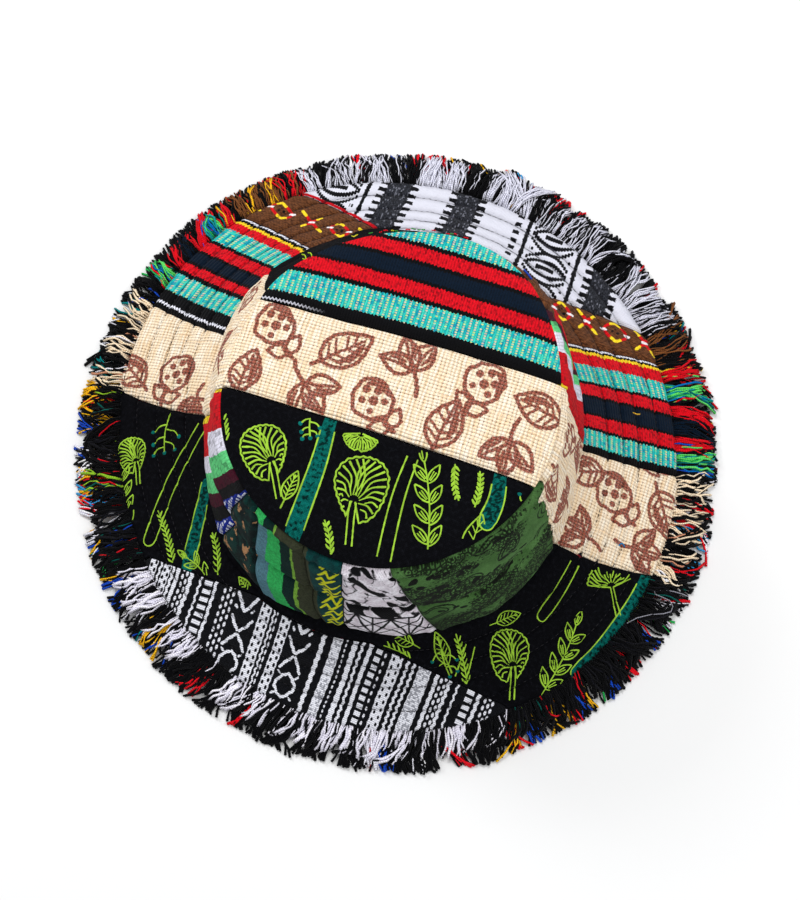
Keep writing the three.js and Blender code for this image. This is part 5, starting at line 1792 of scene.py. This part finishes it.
# ---------------------------------------------------------------- fringe
def tubes(name, paths, radii, colours, look, sides=3, flat=1.0, smooth=True):
    """Threads as one joined mesh. paths: (n, k, 3) mm; radii: (n, k); colours: (n, k, 4)."""
    n, k, _ = paths.shape
    tangent = np.gradient(paths, axis=1)
    tangent /= np.maximum(1e-9, np.linalg.norm(tangent, axis=-1, keepdims=True))
    up = np.zeros_like(tangent)
    up[..., 2] = 1.0
    side = np.cross(tangent, up)
    length = np.linalg.norm(side, axis=-1, keepdims=True)
    side = np.where(length < 1e-4, [1.0, 0, 0], side / np.maximum(length, 1e-4))
    other = np.cross(side, tangent)
    a = np.arange(sides) * 2 * np.pi / sides + np.pi / 2
    ring = (side[:, :, None, :] * np.cos(a)[None, None, :, None] + flat * other[:, :, None, :] * np.sin(a)[None, None, :, None]) * radii[:, :, None, None]
    places = (paths[:, :, None, :] + ring).reshape(-1, 3)
    base = np.arange(n)[:, None, None] * k * sides + np.arange(k - 1)[None, :, None] * sides
    j = np.arange(sides)[None, None, :]
    quads = np.stack([base + j, base + (j + 1) % sides, base + (j + 1) % sides + sides, base + j + sides], -1).reshape(-1, 4)
    caps0 = (np.arange(n)[:, None] * k * sides + np.arange(sides)[None, ::-1])
    caps1 = (np.arange(n)[:, None] * k * sides + (k - 1) * sides + np.arange(sides)[None, :])
    along = np.concatenate([np.zeros((n, 1)), np.cumsum(np.linalg.norm(np.diff(paths, axis=1), axis=-1), 1)], 1)
    along = np.broadcast_to(along[:, :, None], (n, k, sides)).ravel()
    cols = np.broadcast_to(colours[:, :, None, :], (n, k, sides, 4)).reshape(-1, 4)
    # every thread has its own cell of the map, its two ends beside it
    rows = int(math.ceil(math.sqrt(n * 3.0)))
    across = int(math.ceil(n / rows))
    cell = np.arange(n)
    cx, cy = (cell % across) / across, (cell // across) / rows
    w, h = 1.0 / across, 1.0 / rows
    s0 = (np.arange(k - 1) / (k - 1))[None, :, None] * 0.84 + 0.02
    s1 = (np.arange(1, k) / (k - 1))[None, :, None] * 0.84 + 0.02
    v0, v1 = (j / sides) * 0.8 + 0.1, ((j + 1) / sides) * 0.8 + 0.1
    X, Y = cx[:, None, None], cy[:, None, None]
    quad_map = np.stack([np.stack(np.broadcast_arrays(X + w * s, Y + h * v), -1) for s, v in ((s0, v0), (s0, v1), (s1, v1), (s1, v0))], 3).reshape(-1, 4, 2)
    t = np.arange(sides) / sides * 2 * np.pi
    cap = np.stack([0.5 + 0.38 * np.cos(t), 0.5 + 0.38 * np.sin(t)], -1)

    def cap_map(shift):
        return np.stack([cx[:, None] + w * (shift + 0.05 * cap[None, :, 0]), cy[:, None] + h * cap[None, :, 1]], -1)

    maps = [quad_map[:, ::-1], cap_map(0.88), cap_map(0.94)]
    obj = make_mesh(name, places, [quads[:, ::-1], caps0[:, ::-1], caps1[:, ::-1]], {"along": along}, None, {"yarn": cols}, {"OFBake": maps})
    if not smooth:
        obj.data.polygons.foreach_set("use_smooth", np.zeros(len(obj.data.polygons), bool))
    obj.data.materials.append(look)
    return obj


look_thread = thread_look("frayed_yarn")


def fray(az_from, az_to, spacing, palette, seed, layer="upper", sweep=0.0, radius=(0.40, 0.58), points=7, tuft=(1.0, 2.2),
         lean=15.0, over=(-5.2, -1.0), rise=(0.2, 3.4), inside=(0.4, 3.6), wiggle=(0.3, 0.95), pinch=(0.0, 0.65), curl_=22):
    """Loose yarns along one strip's raw edge, in tufts that lean and curl together.
    palette(az, rng, tuft of each) gives sRGB rows. over: where the tips end, from the
    outline of the fringe, in mm."""
    rng = np.random.default_rng(seed)
    arc = math.radians(az_to - az_from) * 138
    n = max(4, int(arc / spacing * (1.0)))
    az0 = az_from + (az_to - az_from) * (np.arange(n) + rng.uniform(0.0, 1.0, n)) / n
    # tufts
    widths = rng.uniform(*tuft, int((az_to - az_from) / tuft[0]) + 4)
    ends = az_from + np.cumsum(widths)
    which = np.searchsorted(ends, az0)
    T = len(widths)
    middle = ends - widths / 2
    t_lean, t_curl = rng.normal(0, lean, T), rng.normal(0, curl_, T)
    t_rise, t_pinch = rng.uniform(0, 1, T), rng.uniform(*pinch, T)
    t_over, t_phase, t_wave = rng.uniform(0, 1, T), rng.uniform(0, 6.28, T), rng.uniform(8, 15, T)
    edge, tip = at("edgeR", az0), at("tipR", az0)
    reach = tip + over[0] + (over[1] - over[0]) * np.clip(0.55 * t_over[which] + 0.45 * rng.uniform(0, 1, n) ** 0.8, 0, 1)
    reach = reach - np.where(rng.uniform(0, 1, n) < 0.16, rng.uniform(1, 7, n), 0)
    r0 = edge - rng.uniform(*inside, n) + 0.8 * noise(az0 / 1.1, 0, seed + 1)
    if layer == "upper":
        z0 = at("edgeZ", az0) + 0.2 - rng.uniform(0, 0.7, n)
        z1 = FRINGE_TIP_Z - 0.3 - rng.uniform(0, 1.9, n) + 0.8 * (t_rise[which] - 0.5)
    else:
        z0 = at("edgeZ", az0) - 2.6 - rng.uniform(0, 0.8, n)
        z1 = 0.8 + rng.uniform(0, 1.1, n)
    lift = rise[0] + (rise[1] - rise[0]) * np.clip(0.65 * t_rise[which] + 0.35 * rng.uniform(0, 1, n), 0, 1)
    turn = np.clip(t_lean[which] + rng.normal(0, 7, n), -44, 44) + sweep
    curl = t_curl[which] + rng.normal(0, curl_ * 0.5, n)
    pull = (middle[which] - az0) * t_pinch[which]                   # degrees, towards the tuft's middle at the tip
    t = np.linspace(0, 1, points)
    length = (reach - r0) / np.maximum(0.62, np.cos(np.radians(turn + 0.35 * curl)))
    x, y = (r0 * np.cos(np.radians(az0)) - CENTRE_X).copy(), (r0 * np.sin(np.radians(az0))).copy()
    line = np.zeros((n, points, 2))
    line[:, 0, 0], line[:, 0, 1] = x, y
    for k in range(1, points):
        f = (k - 0.5) / (points - 1)
        heading = np.radians(az0 + turn * min(1, 0.45 + f) + curl * f * f)
        step = length / (points - 1)
        x, y = x + np.cos(heading) * step, y + np.sin(heading) * step
        line[:, k, 0], line[:, k, 1] = x, y
    # towards the tuft's middle, then each yarn's own waves
    cross = np.stack([-np.sin(np.radians(az0)), np.cos(np.radians(az0))], -1)
    drift = np.radians(pull)[:, None] * 150 * t[None, :] ** 1.3
    amount = rng.uniform(*wiggle, n)[:, None] * np.minimum(1, t * 2.4)[None, :]
    period = (t_wave[which] * rng.uniform(0.8, 1.25, n))[:, None]
    phase = (t_phase[which] + rng.normal(0, 0.8, n))[:, None]
    wave = amount * np.sin(2 * np.pi * length[:, None] * t[None, :] / period + phase) - amount * np.sin(phase)
    line = line + cross[:, None, :] * (drift + wave)[..., None]
    z = z0[:, None] + (z1 - z0)[:, None] * t[None, :] ** 0.9 + lift[:, None] * np.sin(np.pi * t)[None, :] ** 0.8
    z = z + 0.55 * amount * np.cos(2 * np.pi * length[:, None] * t[None, :] / period * 1.3 + phase) + rng.normal(0, 0.1, (n, points))
    paths = np.concatenate([line, np.maximum(0.55, z)[..., None]], -1)
    size = rng.uniform(*radius, n)
    radii = size[:, None] * np.interp(t, [0, 0.7, 1], [0.8, 0.95, 1.15])[None, :] * rng.uniform(0.88, 1.12, (n, points))
    lin = np.array([linear(c) for c in palette(az0, rng, which)])
    shade = rng.uniform(0.88, 1.12, n)
    cols = (lin * np.concatenate([np.repeat(shade[:, None], 3, 1), np.ones((n, 1))], 1))[:, None, :]
    # painted shade: each yarn is darker where it comes out from under the cloth's edge
    root_shade = np.interp(t, [0, 0.15, 1], [0.8, 1.0, 1.0])[None, :, None]
    cols = np.concatenate([np.clip(cols[..., :3] * root_shade, 0, 1), np.ones((n, points, 1))], -1)
    return paths, radii, cols


def pick(rng, n, choices):
    names = [c for c, _ in choices]
    p = np.array([w for _, w in choices], float)
    return np.array(names)[rng.choice(len(names), n, p=p / p.sum())]


GREEN_YARN, BLUE_YARN, AQUA = (96, 214, 104), (0, 112, 190), (20, 150, 150)
K_, R_, B_, Y_, T_, L_, W_, G_, N_, P_ = (9, 9, 12), (228, 18, 34), (24, 74, 190), (246, 188, 30), (4, 128, 130), (60, 160, 220), (244, 243, 253), (40, 178, 84), (124, 76, 40), (236, 160, 160)
YARNS = dict(K=K_, R=R_, B=B_, Y=Y_, T=T_, L=L_, W=W_, G=G_, N=N_, P=P_)


def clusters(width, seed, letters_at, own=0.62, black=0.28):
    """Small clumps of one colour each; letters_at(az) names what may come there."""
    def palette(az, rng, which):
        clump = np.floor(az / width + 0.35 * noise(az / 3, 0, seed)).astype(int)
        local = np.random.default_rng(seed)
        table = {c: YARNS[letters_at(float(az[clump == c].mean()))[local.integers(0, 10 ** 6) % len(letters_at(float(az[clump == c].mean())))]] for c in np.unique(clump)}
        r = rng.uniform(0, 1, len(az))
        out = []
        for k in range(len(az)):
            letters = letters_at(float(az[k]))
            if r[k] < own:
                out.append(table[clump[k]])
            elif r[k] < own + black:
                out.append(K_)
            else:
                out.append(YARNS[letters[rng.integers(0, len(letters))]])
        return np.array(out)
    return palette


def banded(az_from, az_to, bands, extra, stray_share=0.2):
    """Threads take the colour of the band they grow from, with a few strays."""
    def palette(az, rng, which):
        share = (az - az_from) / (az_to - az_from) + rng.normal(0, 0.010, len(az))
        starts = np.array([b[0] for b in bands])
        k = np.clip(np.searchsorted(starts, share, side="right") - 1, 0, len(bands) - 1)
        out = np.array([bands[i][1] for i in k])
        # the turquoise bands end in greens and blues
        sea = np.array([AQUA, GREEN_YARN, BLUE_YARN, (0, 104, 104), (36, 170, 90), GREEN_YARN])
        own = sea[(np.floor(az * 2.2).astype(int) * 7 + rng.integers(0, 2, len(az))) % len(sea)]
        out = np.where((out == TURQUOISE).all(1)[:, None], own, out)
        out = np.where((out == WHITE).all(1)[:, None], K_, out)
        stray = pick(rng, len(az), extra)
        return np.where((rng.uniform(0, 1, len(az)) < stray_share)[:, None], stray, out)
    return palette


def mixed(*choices, clump=0.5):
    """Colours at random, partly by tuft."""
    def palette(az, rng, which):
        tuft_colour = pick(rng, int(which.max()) + 1, choices)[which]
        own = pick(rng, len(az), choices)
        return np.where((rng.uniform(0, 1, len(az)) < clump)[:, None], tuft_colour, own)
    return palette


def ikat_yarn(az, rng, which):
    e = point(az, at("edgeR", az), 0 * az)
    U, V = turned(e[:, 0], e[:, 1], 17.5)
    U = U + rng.normal(0, 0.6, len(az))
    black = ((U > -44) & (U < -31)) | ((U > -9) & (U < 4)) | ((U > 65) & (U < 78)) | ((U > 28) & (U < 32)) | ((U > 56) & (U < 59)) | (U > 99)
    lattice_ = ((U > 34) & (U < 54)) | (U < -55)
    r = rng.uniform(0, 1, len(az))
    mid = (az > 60) & (az < 88)
    dark = np.where(black, r < 0.93, np.where(lattice_, r < 0.45, r < np.where(mid, 0.07, 0.26)))
    red = (az > 108.6) & (r > 0.3)
    out = np.where(dark[:, None], K_, (226, 226, 239))
    return np.where(red[:, None], np.where((r > 0.62)[:, None], R_, (190, 30, 34)), out)


def weave_yarn(az, rng, which):
    e = point(az, at("edgeR", az), 0 * az)
    U, V = turned(e[:, 0], e[:, 1], 22.3)
    U = U + rng.normal(0, 0.35, len(az))
    solid = np.zeros(len(az), bool)
    for a, b in ((-86, -80), (-78, -69), (-64, -61.5), (-58.2, -48.5), (-26, -19), (-15, -9.5), (5.5, 7.5), (10.5, 15.6), (19.8, 25.5), (27, 33.8), (38, 50), (51, 57.5), (59.5, 61.7), (65.5, 67.5), (70, 71.6), (75, 82)):
        solid |= (U > a) & (U < b)
    r = rng.uniform(0, 1, len(az))
    dark = np.where(solid, r < 0.22, r < 0.80)
    return np.where(dark[:, None], K_, (240, 237, 250))


FRAYS = [
    ("fringe_ikat", 24.2, 110.9, ikat_yarn, 101, dict(sweep=3, lean=14, rise=(0.4, 4.8), spacing=0.30, radius=(0.38, 0.54), over=(-4.4, -1.0), tuft=(1.4, 3.2), curl_=15, pinch=(0.05, 0.6))),
    ("fringe_brown_left", 110.9, 123.3, clusters(0.8, 7, lambda a: "NNNNNNKY" if a > 114 else "NNNRRK", 0.7, 0.06), 102, dict(lean=14, over=(-3.4, -0.2), spacing=0.36, radius=(0.5, 0.7), rise=(0.8, 4.6))),
    ("fringe_stripe_left", 123.3, 149.0, banded(123.3, 149.0, LEFT_BANDS, [(K_, 6), (R_, 2), (GREEN_YARN, 1.0), (B_, 1.0), (Y_, 0.2)], 0.18), 103, dict(lean=17, sweep=-8, over=(-6.4, -0.8), rise=(0.8, 5.4), radius=(0.56, 0.8), spacing=0.34, pinch=(0.2, 0.8), tuft=(1.6, 3.4), curl_=20)),
    ("fringe_hemp_left", 149.0, 168.4, mixed(((246, 226, 196), 8), (K_, 3.0), ((214, 150, 118), 0.6), (W_, 0.8), clump=0.3), 104, dict(lean=9, spacing=0.85, radius=(0.56, 0.8), over=(-6.0, -1.2), curl_=14, tuft=(0.8, 1.6))),
    ("fringe_black_left", 168.4, 205.2, mixed((K_, 20), ((20, 20, 26), 5), (R_, 0.5), (B_, 0.3), (LIME, 0.3), (TEAL, 0.4), clump=0.3), 105, dict(lean=24, over=(-8.4, -2.2), spacing=0.36, radius=(0.5, 0.74), curl_=42, rise=(0.2, 5.2))),
    ("fringe_weave_front", 205.2, 292.4, weave_yarn, 106, dict(sweep=-18, lean=13, over=(-9.5, -4.0), tuft=(0.9, 2.0), inside=(0.6, 4.2), radius=(0.62, 0.92), rise=(0.3, 3.2), spacing=0.50, pinch=(0.45, 0.9), curl_=18)),
    ("fringe_black_right", 292.4, 332.6, mixed((K_, 20), ((20, 20, 26), 5), (R_, 0.3), (LIME, 0.3), (Y_, 0.2), (TEAL, 0.3), clump=0.3), 107, dict(lean=24, over=(-8.2, -2.0), spacing=0.36, radius=(0.5, 0.74), curl_=42, rise=(0.2, 5.4))),
    ("fringe_hemp_right", 332.6, 353.3, mixed(((246, 226, 196), 9), (K_, 4.0), ((214, 150, 118), 0.6), (W_, 0.8), clump=0.3), 108, dict(lean=20, spacing=0.58, radius=(0.54, 0.78), over=(-7.4, -1.8), curl_=34, tuft=(0.8, 1.8), wiggle=(0.6, 1.6))),
    ("fringe_stripe_right", -6.7, 17.4, banded(17.4, -6.7, RIGHT_BANDS, [(K_, 5), (R_, 2.4), (GREEN_YARN, 0.6), (B_, 0.5)], 0.14), 109, dict(lean=16, over=(-4.4, 0.2), radius=(0.58, 0.84), spacing=0.32, pinch=(0.3, 0.85), tuft=(1.6, 3.4), curl_=20, rise=(0.4, 5.0))),
    ("fringe_brown_right", 17.4, 24.2, clusters(1.0, 9, lambda a: "NNNNK", 0.7, 0.12), 110, dict(lean=14, over=(-3.4, 0.0), spacing=0.38, radius=(0.5, 0.7))),
]


def joined(parts):
    return tuple(np.concatenate([p[i] for p in parts]) for i in range(3))


for name, a, b, palette, seed, extra in FRAYS:
    extra = dict({"spacing": 0.42}, **extra)
    o = tubes(name, *fray(a, b, extra.pop("spacing"), palette, seed, **extra), look_thread)
    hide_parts(name)
    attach(o, "root")

# what comes out past the rim from the lower cloth, going round
LOWER = [(25, "KKKRBYT"), (60, "KKKKKKKR"), (80, "KKYLRW"), (100, "KKKRBW"), (112, "KKKK"), (125, "NKYRK"), (150, "KKKKKKKG"), (168, "KKKKTYW"), (200, "KKRBYLW"), (215, "KKKBWYG"),
         (230, "KKKYBT"), (262, "KKKKKKR"), (285, "KKKKWRB"), (310, "KKKYBR"), (325, "KKKYBGR"), (345, "KKKRLW"), (361, "KKKWR")]


def lower_letters(az):
    for end, letters in LOWER:
        if az % 360 < end:
            return letters
    return "K"


parts = [fray(0.0, 360.0, 0.46, clusters(1.5, 77, lower_letters, 0.60, 0.34), 201, "lower", over=(-2.6, 1.2), lean=13, points=6, rise=(0.0, 1.8), inside=(0.2, 1.6), wiggle=(0.3, 1.0), radius=(0.52, 0.76))]
o = tubes("fringe_under", *joined(parts), look_thread)
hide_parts("fringe_under")
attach(o, "root")


# ---------------------------------------------------------------- printed lines
def along_cloth(strokes, surface, keep, colour, step=1.0, points=6, seed=3):
    """Strokes as chains of short strips lying on the cloth."""
    rng = np.random.default_rng(seed)
    lines, widths = [], []
    for pts, half in strokes:
        pts = np.asarray(pts, float)
        half = np.broadcast_to(np.asarray(half, float), (len(pts),))
        if len(pts) == 1:
            s = np.linspace(-1, 1, points) * 0.96
            lines.append(pts[0] + np.stack([s * half[0], 0 * s], -1))
            widths.append(half[0] * np.sqrt(1 - s ** 2) * 1.15)
            continue
        run = np.concatenate([[0], np.cumsum(np.hypot(*np.diff(pts, axis=0).T))])
        if run[-1] < 0.1:
            continue
        chunks = max(1, int(math.ceil(run[-1] / (step * (points - 1)))))
        s = np.linspace(0, run[-1], chunks * (points - 1) + 1)
        xy = np.stack([np.interp(s, run, pts[:, 0]), np.interp(s, run, pts[:, 1])], -1)
        w = np.interp(s, run, half) * rng.uniform(0.8, 1.2, len(s))
        for c in range(chunks):
            k = slice(c * (points - 1), c * (points - 1) + points)
            lines.append(xy[k])
            widths.append(w[k])
    lines, widths = np.array(lines), np.array(widths)
    ok = keep(lines[..., 0], lines[..., 1]).all(1)
    lines, widths = lines[ok], widths[ok]
    z = surface(lines[..., 0], lines[..., 1]) + 0.10
    n = len(lines)
    tone = (np.array(linear(colour))[None, :3] * rng.uniform(0.8, 1.15, (n, 1)))
    cols = np.concatenate([np.repeat(np.clip(tone, 0, 1)[:, None], points, 1), np.ones((n, points, 1))], -1)
    return np.concatenate([lines, z[..., None]], -1), widths / 0.866, cols


def seam_ends(aL, aR):
    return [(float(at("topR", a)) * math.cos(math.radians(a)), float(at("topR", a)) * math.sin(math.radians(a))) for a in (aL, aR)]


BLACK_SEAM = seam_ends(hbL + EDGE_TRIM, hbR - EDGE_TRIM)


def crown_cloth(X, Y):
    x, y = X + CENTRE_X, Y
    az = np.degrees(np.arctan2(y, x))
    share = np.minimum(1, np.hypot(x, y) / at("topR", az))
    return panel_z(az, share) + crown_relief(x, y, az, share) - seam_dip(from_line(x, y, *BLACK_SEAM))


def on_crown(X, Y):
    x, y = X + CENTRE_X, Y
    az = np.degrees(np.arctan2(y, x))
    return (np.hypot(x, y) < at("topR", az) - 0.9) & (from_line(x, y, *BLACK_SEAM) > 0.7)


def black_sides(X, Y):
    az, r = azimuth_of(X, Y), np.hypot(X + CENTRE_X, Y)
    f = (r - inner_edge(az)) / (cloth_edge(az) - inner_edge(az))
    (li, lo), (ri, ro) = BRIM_SEAMS["hemp_left"], BRIM_SEAMS["hemp_right"]
    first = np.radians(az - (li + (lo - li) * f + SEAM_TRIM)) * r
    last = np.radians(ri + (ro - ri) * f - SEAM_TRIM + 360 - az) * r
    return az, r, first, last


def brim_cloth(X, Y):
    az, r, first, last = black_sides(X, Y)
    z = brim_z(az, brim_share(az, r)) + brim_relief(az, r)
    for w in (first, last):
        z = z - 1.1 * np.exp(-(w / 1.2) ** 2) + 0.4 * np.exp(-((w - 3.2) / 1.5) ** 2)
    return z


def on_black_brim(X, Y):
    az, r, first, last = black_sides(X, Y)
    return (first > 0.8) & (last > 0.8) & (r > inner_edge(az) + 1) & (r < black_outer(az) - 0.7)


look_ink = ink_look("printed_line")
LIME_INK, TEAL_INK = (146, 188, 56), (8, 100, 94)
for name, drawing, surface, keep in (("crown_black_print", CROWN_BLACK, crown_cloth, on_crown), ("brim_black_print", BRIM_BLACK, brim_cloth, on_black_brim)):
    o = tubes(name, *joined([along_cloth(drawing[0], surface, keep, LIME_INK), along_cloth(drawing[3], surface, keep, TEAL_INK)]), look_ink, flat=0.22, smooth=False)
    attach(o, "root")


# ---------------------------------------------------------------- stitches, stray yarns
def brim_height(X, Y):
    az, r = azimuth_of(X, Y), np.hypot(X + CENTRE_X, Y)
    return brim_z(az, brim_share(az, r)) + brim_relief(az, r)


def stitches():
    rows, radii = [], []
    for row in STITCH_ROWS:
        az = np.arange(0, 360, math.degrees(3.1 / 128))
        span = math.degrees(2.2 / 128)
        a = az[:, None] + np.linspace(0, span, 4)[None, :]
        r = at("edgeR", a) - stitch_line(row, a)
        P = point(a, r, 0 * a)
        P[..., 2] = brim_height(P[..., 0], P[..., 1]) + np.array([0.05, 0.42, 0.42, 0.05])
        rows.append(P)
    rows = np.concatenate(rows)
    # only where cloth of the upper layer lies there
    az, r = azimuth_of(rows[:, 1, 0], rows[:, 1, 1]), np.hypot(rows[:, 1, 0], rows[:, 1, 1])
    rows = rows[r > at("baseR", az) + 2.5]
    n = len(rows)
    cols = np.tile(np.array(linear((46, 44, 48))), (n, 4, 1))
    return rows, np.full((n, 4), 0.18), cols


o = tubes("brim_stitches", *stitches(), look_thread, flat=0.7)
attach(o, "root")


# ---------------------------------------------------------------- loose threads
def loose(places, colour, radius, taper=1.0):
    """One stray thread through the given places (mm), as one row for tubes()."""
    P = np.array(places, float)
    t = np.linspace(0, len(P) - 1, 14)
    k = np.clip(t.astype(int), 0, len(P) - 2)
    f = (t - k)[:, None]
    A, B, C, D = P[np.maximum(k - 1, 0)], P[k], P[k + 1], P[np.minimum(k + 2, len(P) - 1)]
    line = 0.5 * (2 * B + (C - A) * f + (2 * A - 5 * B + 4 * C - D) * f ** 2 + (3 * B - A - 3 * C + D) * f ** 3)
    cols = np.tile(np.array(linear(colour)), (1, 14, 1))
    return line[None], np.linspace(radius, radius * taper, 14)[None], cols


STRAYS = [
    loose([(108.0, -86.8, 9.4), (115.5, -83.3, 10.2), (124.9, -82.2, 8.8), (129.8, -80.4, 7.6), (129.1, -76.4, 8.8), (124.5, -74.3, 10.0), (120.8, -72.2, 9.6), (126.6, -70.9, 8.6), (133.3, -72.0, 7.4), (138.0, -73.6, 6.2)], (150, 150, 160), 0.34),
    loose([(-0.6, -148.0, 4.2), (-0.3, -154.0, 2.6), (1.6, -155.4, 1.2)], K_, 0.5),
    loose([(9.0, -146.0, 4.4), (11.2, -150.5, 3.0), (12.4, -154.6, 1.2)], K_, 0.5),
    loose([(-40.2, 56.4, 108.6), (-38.9, 55.4, 110.2), (-37.6, 54.9, 110.9), (-36.2, 56.3, 111.0), (-36.6, 58.2, 110.3), (-37.9, 58.8, 109.4)], (176, 214, 50), 0.36),
    loose([(-40.6, 58.6, 108.2), (-39.2, 57.6, 109.4), (-38.6, 55.4, 110.6), (-38.9, 54.2, 110.6)], (176, 214, 50), 0.36),
    loose([(-18.9, 66.4, 109.8), (-17.9, 65.8, 110.8), (-17.1, 66.6, 110.2), (-16.4, 67.2, 109.4)], (214, 214, 50), 0.38),
    loose([(70.1, -42.3, 42.4), (71.2, -41.4, 43.2), (72.5, -40.7, 42.0)], R_, 0.5),
    loose([(55.5, 50.8, 110.0), (57.0, 48.9, 110.4), (58.9, 46.5, 109.6)], (40, 70, 170), 0.6),
    loose([(112.6, 12.0, 22.6), (114.2, 11.0, 23.4), (116.0, 11.4, 21.8)], (236, 190, 60), 0.35),
    loose([(104.0, -52.0, 20.0), (105.6, -51.0, 20.6), (107.0, -52.4, 19.0)], (30, 130, 190), 0.4),
]
rng = np.random.default_rng(77)
here = 64.0
while here < 101:
    # coloured edge threads caught in the seam behind the striped cloth
    end = here + rng.uniform(0.7, 1.9)
    if rng.uniform() < 0.62:
        a = np.linspace(here, end, 4)
        r = at("topR", a) + 0.9 + rng.uniform(-0.3, 0.5)
        STRAYS.append(loose(point(a, r, at("topZ", a) - rng.uniform(0.0, 0.8, 4)), [R_, R_, (214, 190, 50), (60, 150, 60)][int(rng.integers(0, 4))], 0.34))
    here = end + rng.uniform(0.1, 0.9)
o = tubes("loose_threads", *joined(STRAYS), look_thread)
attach(o, "root")


# ---------------------------------------------------------------- floor
floor_mesh = bpy.data.meshes.new("floor")
floor_mesh.from_pydata([(-4, -4, 0), (4, -4, 0), (4, 4, 0), (-4, 4, 0)], [], [(0, 1, 2, 3)])
floor = bpy.data.objects.new("floor", floor_mesh)
scene.collection.objects.link(floor)
floor_look = Look("pale_floor", rough=0.8, sheen=0.0, specular=0.2)
floor_look.bsdf.inputs["Base Color"].default_value = (0.78, 0.78, 0.78, 1)
floor.data.materials.append(floor_look.mat)
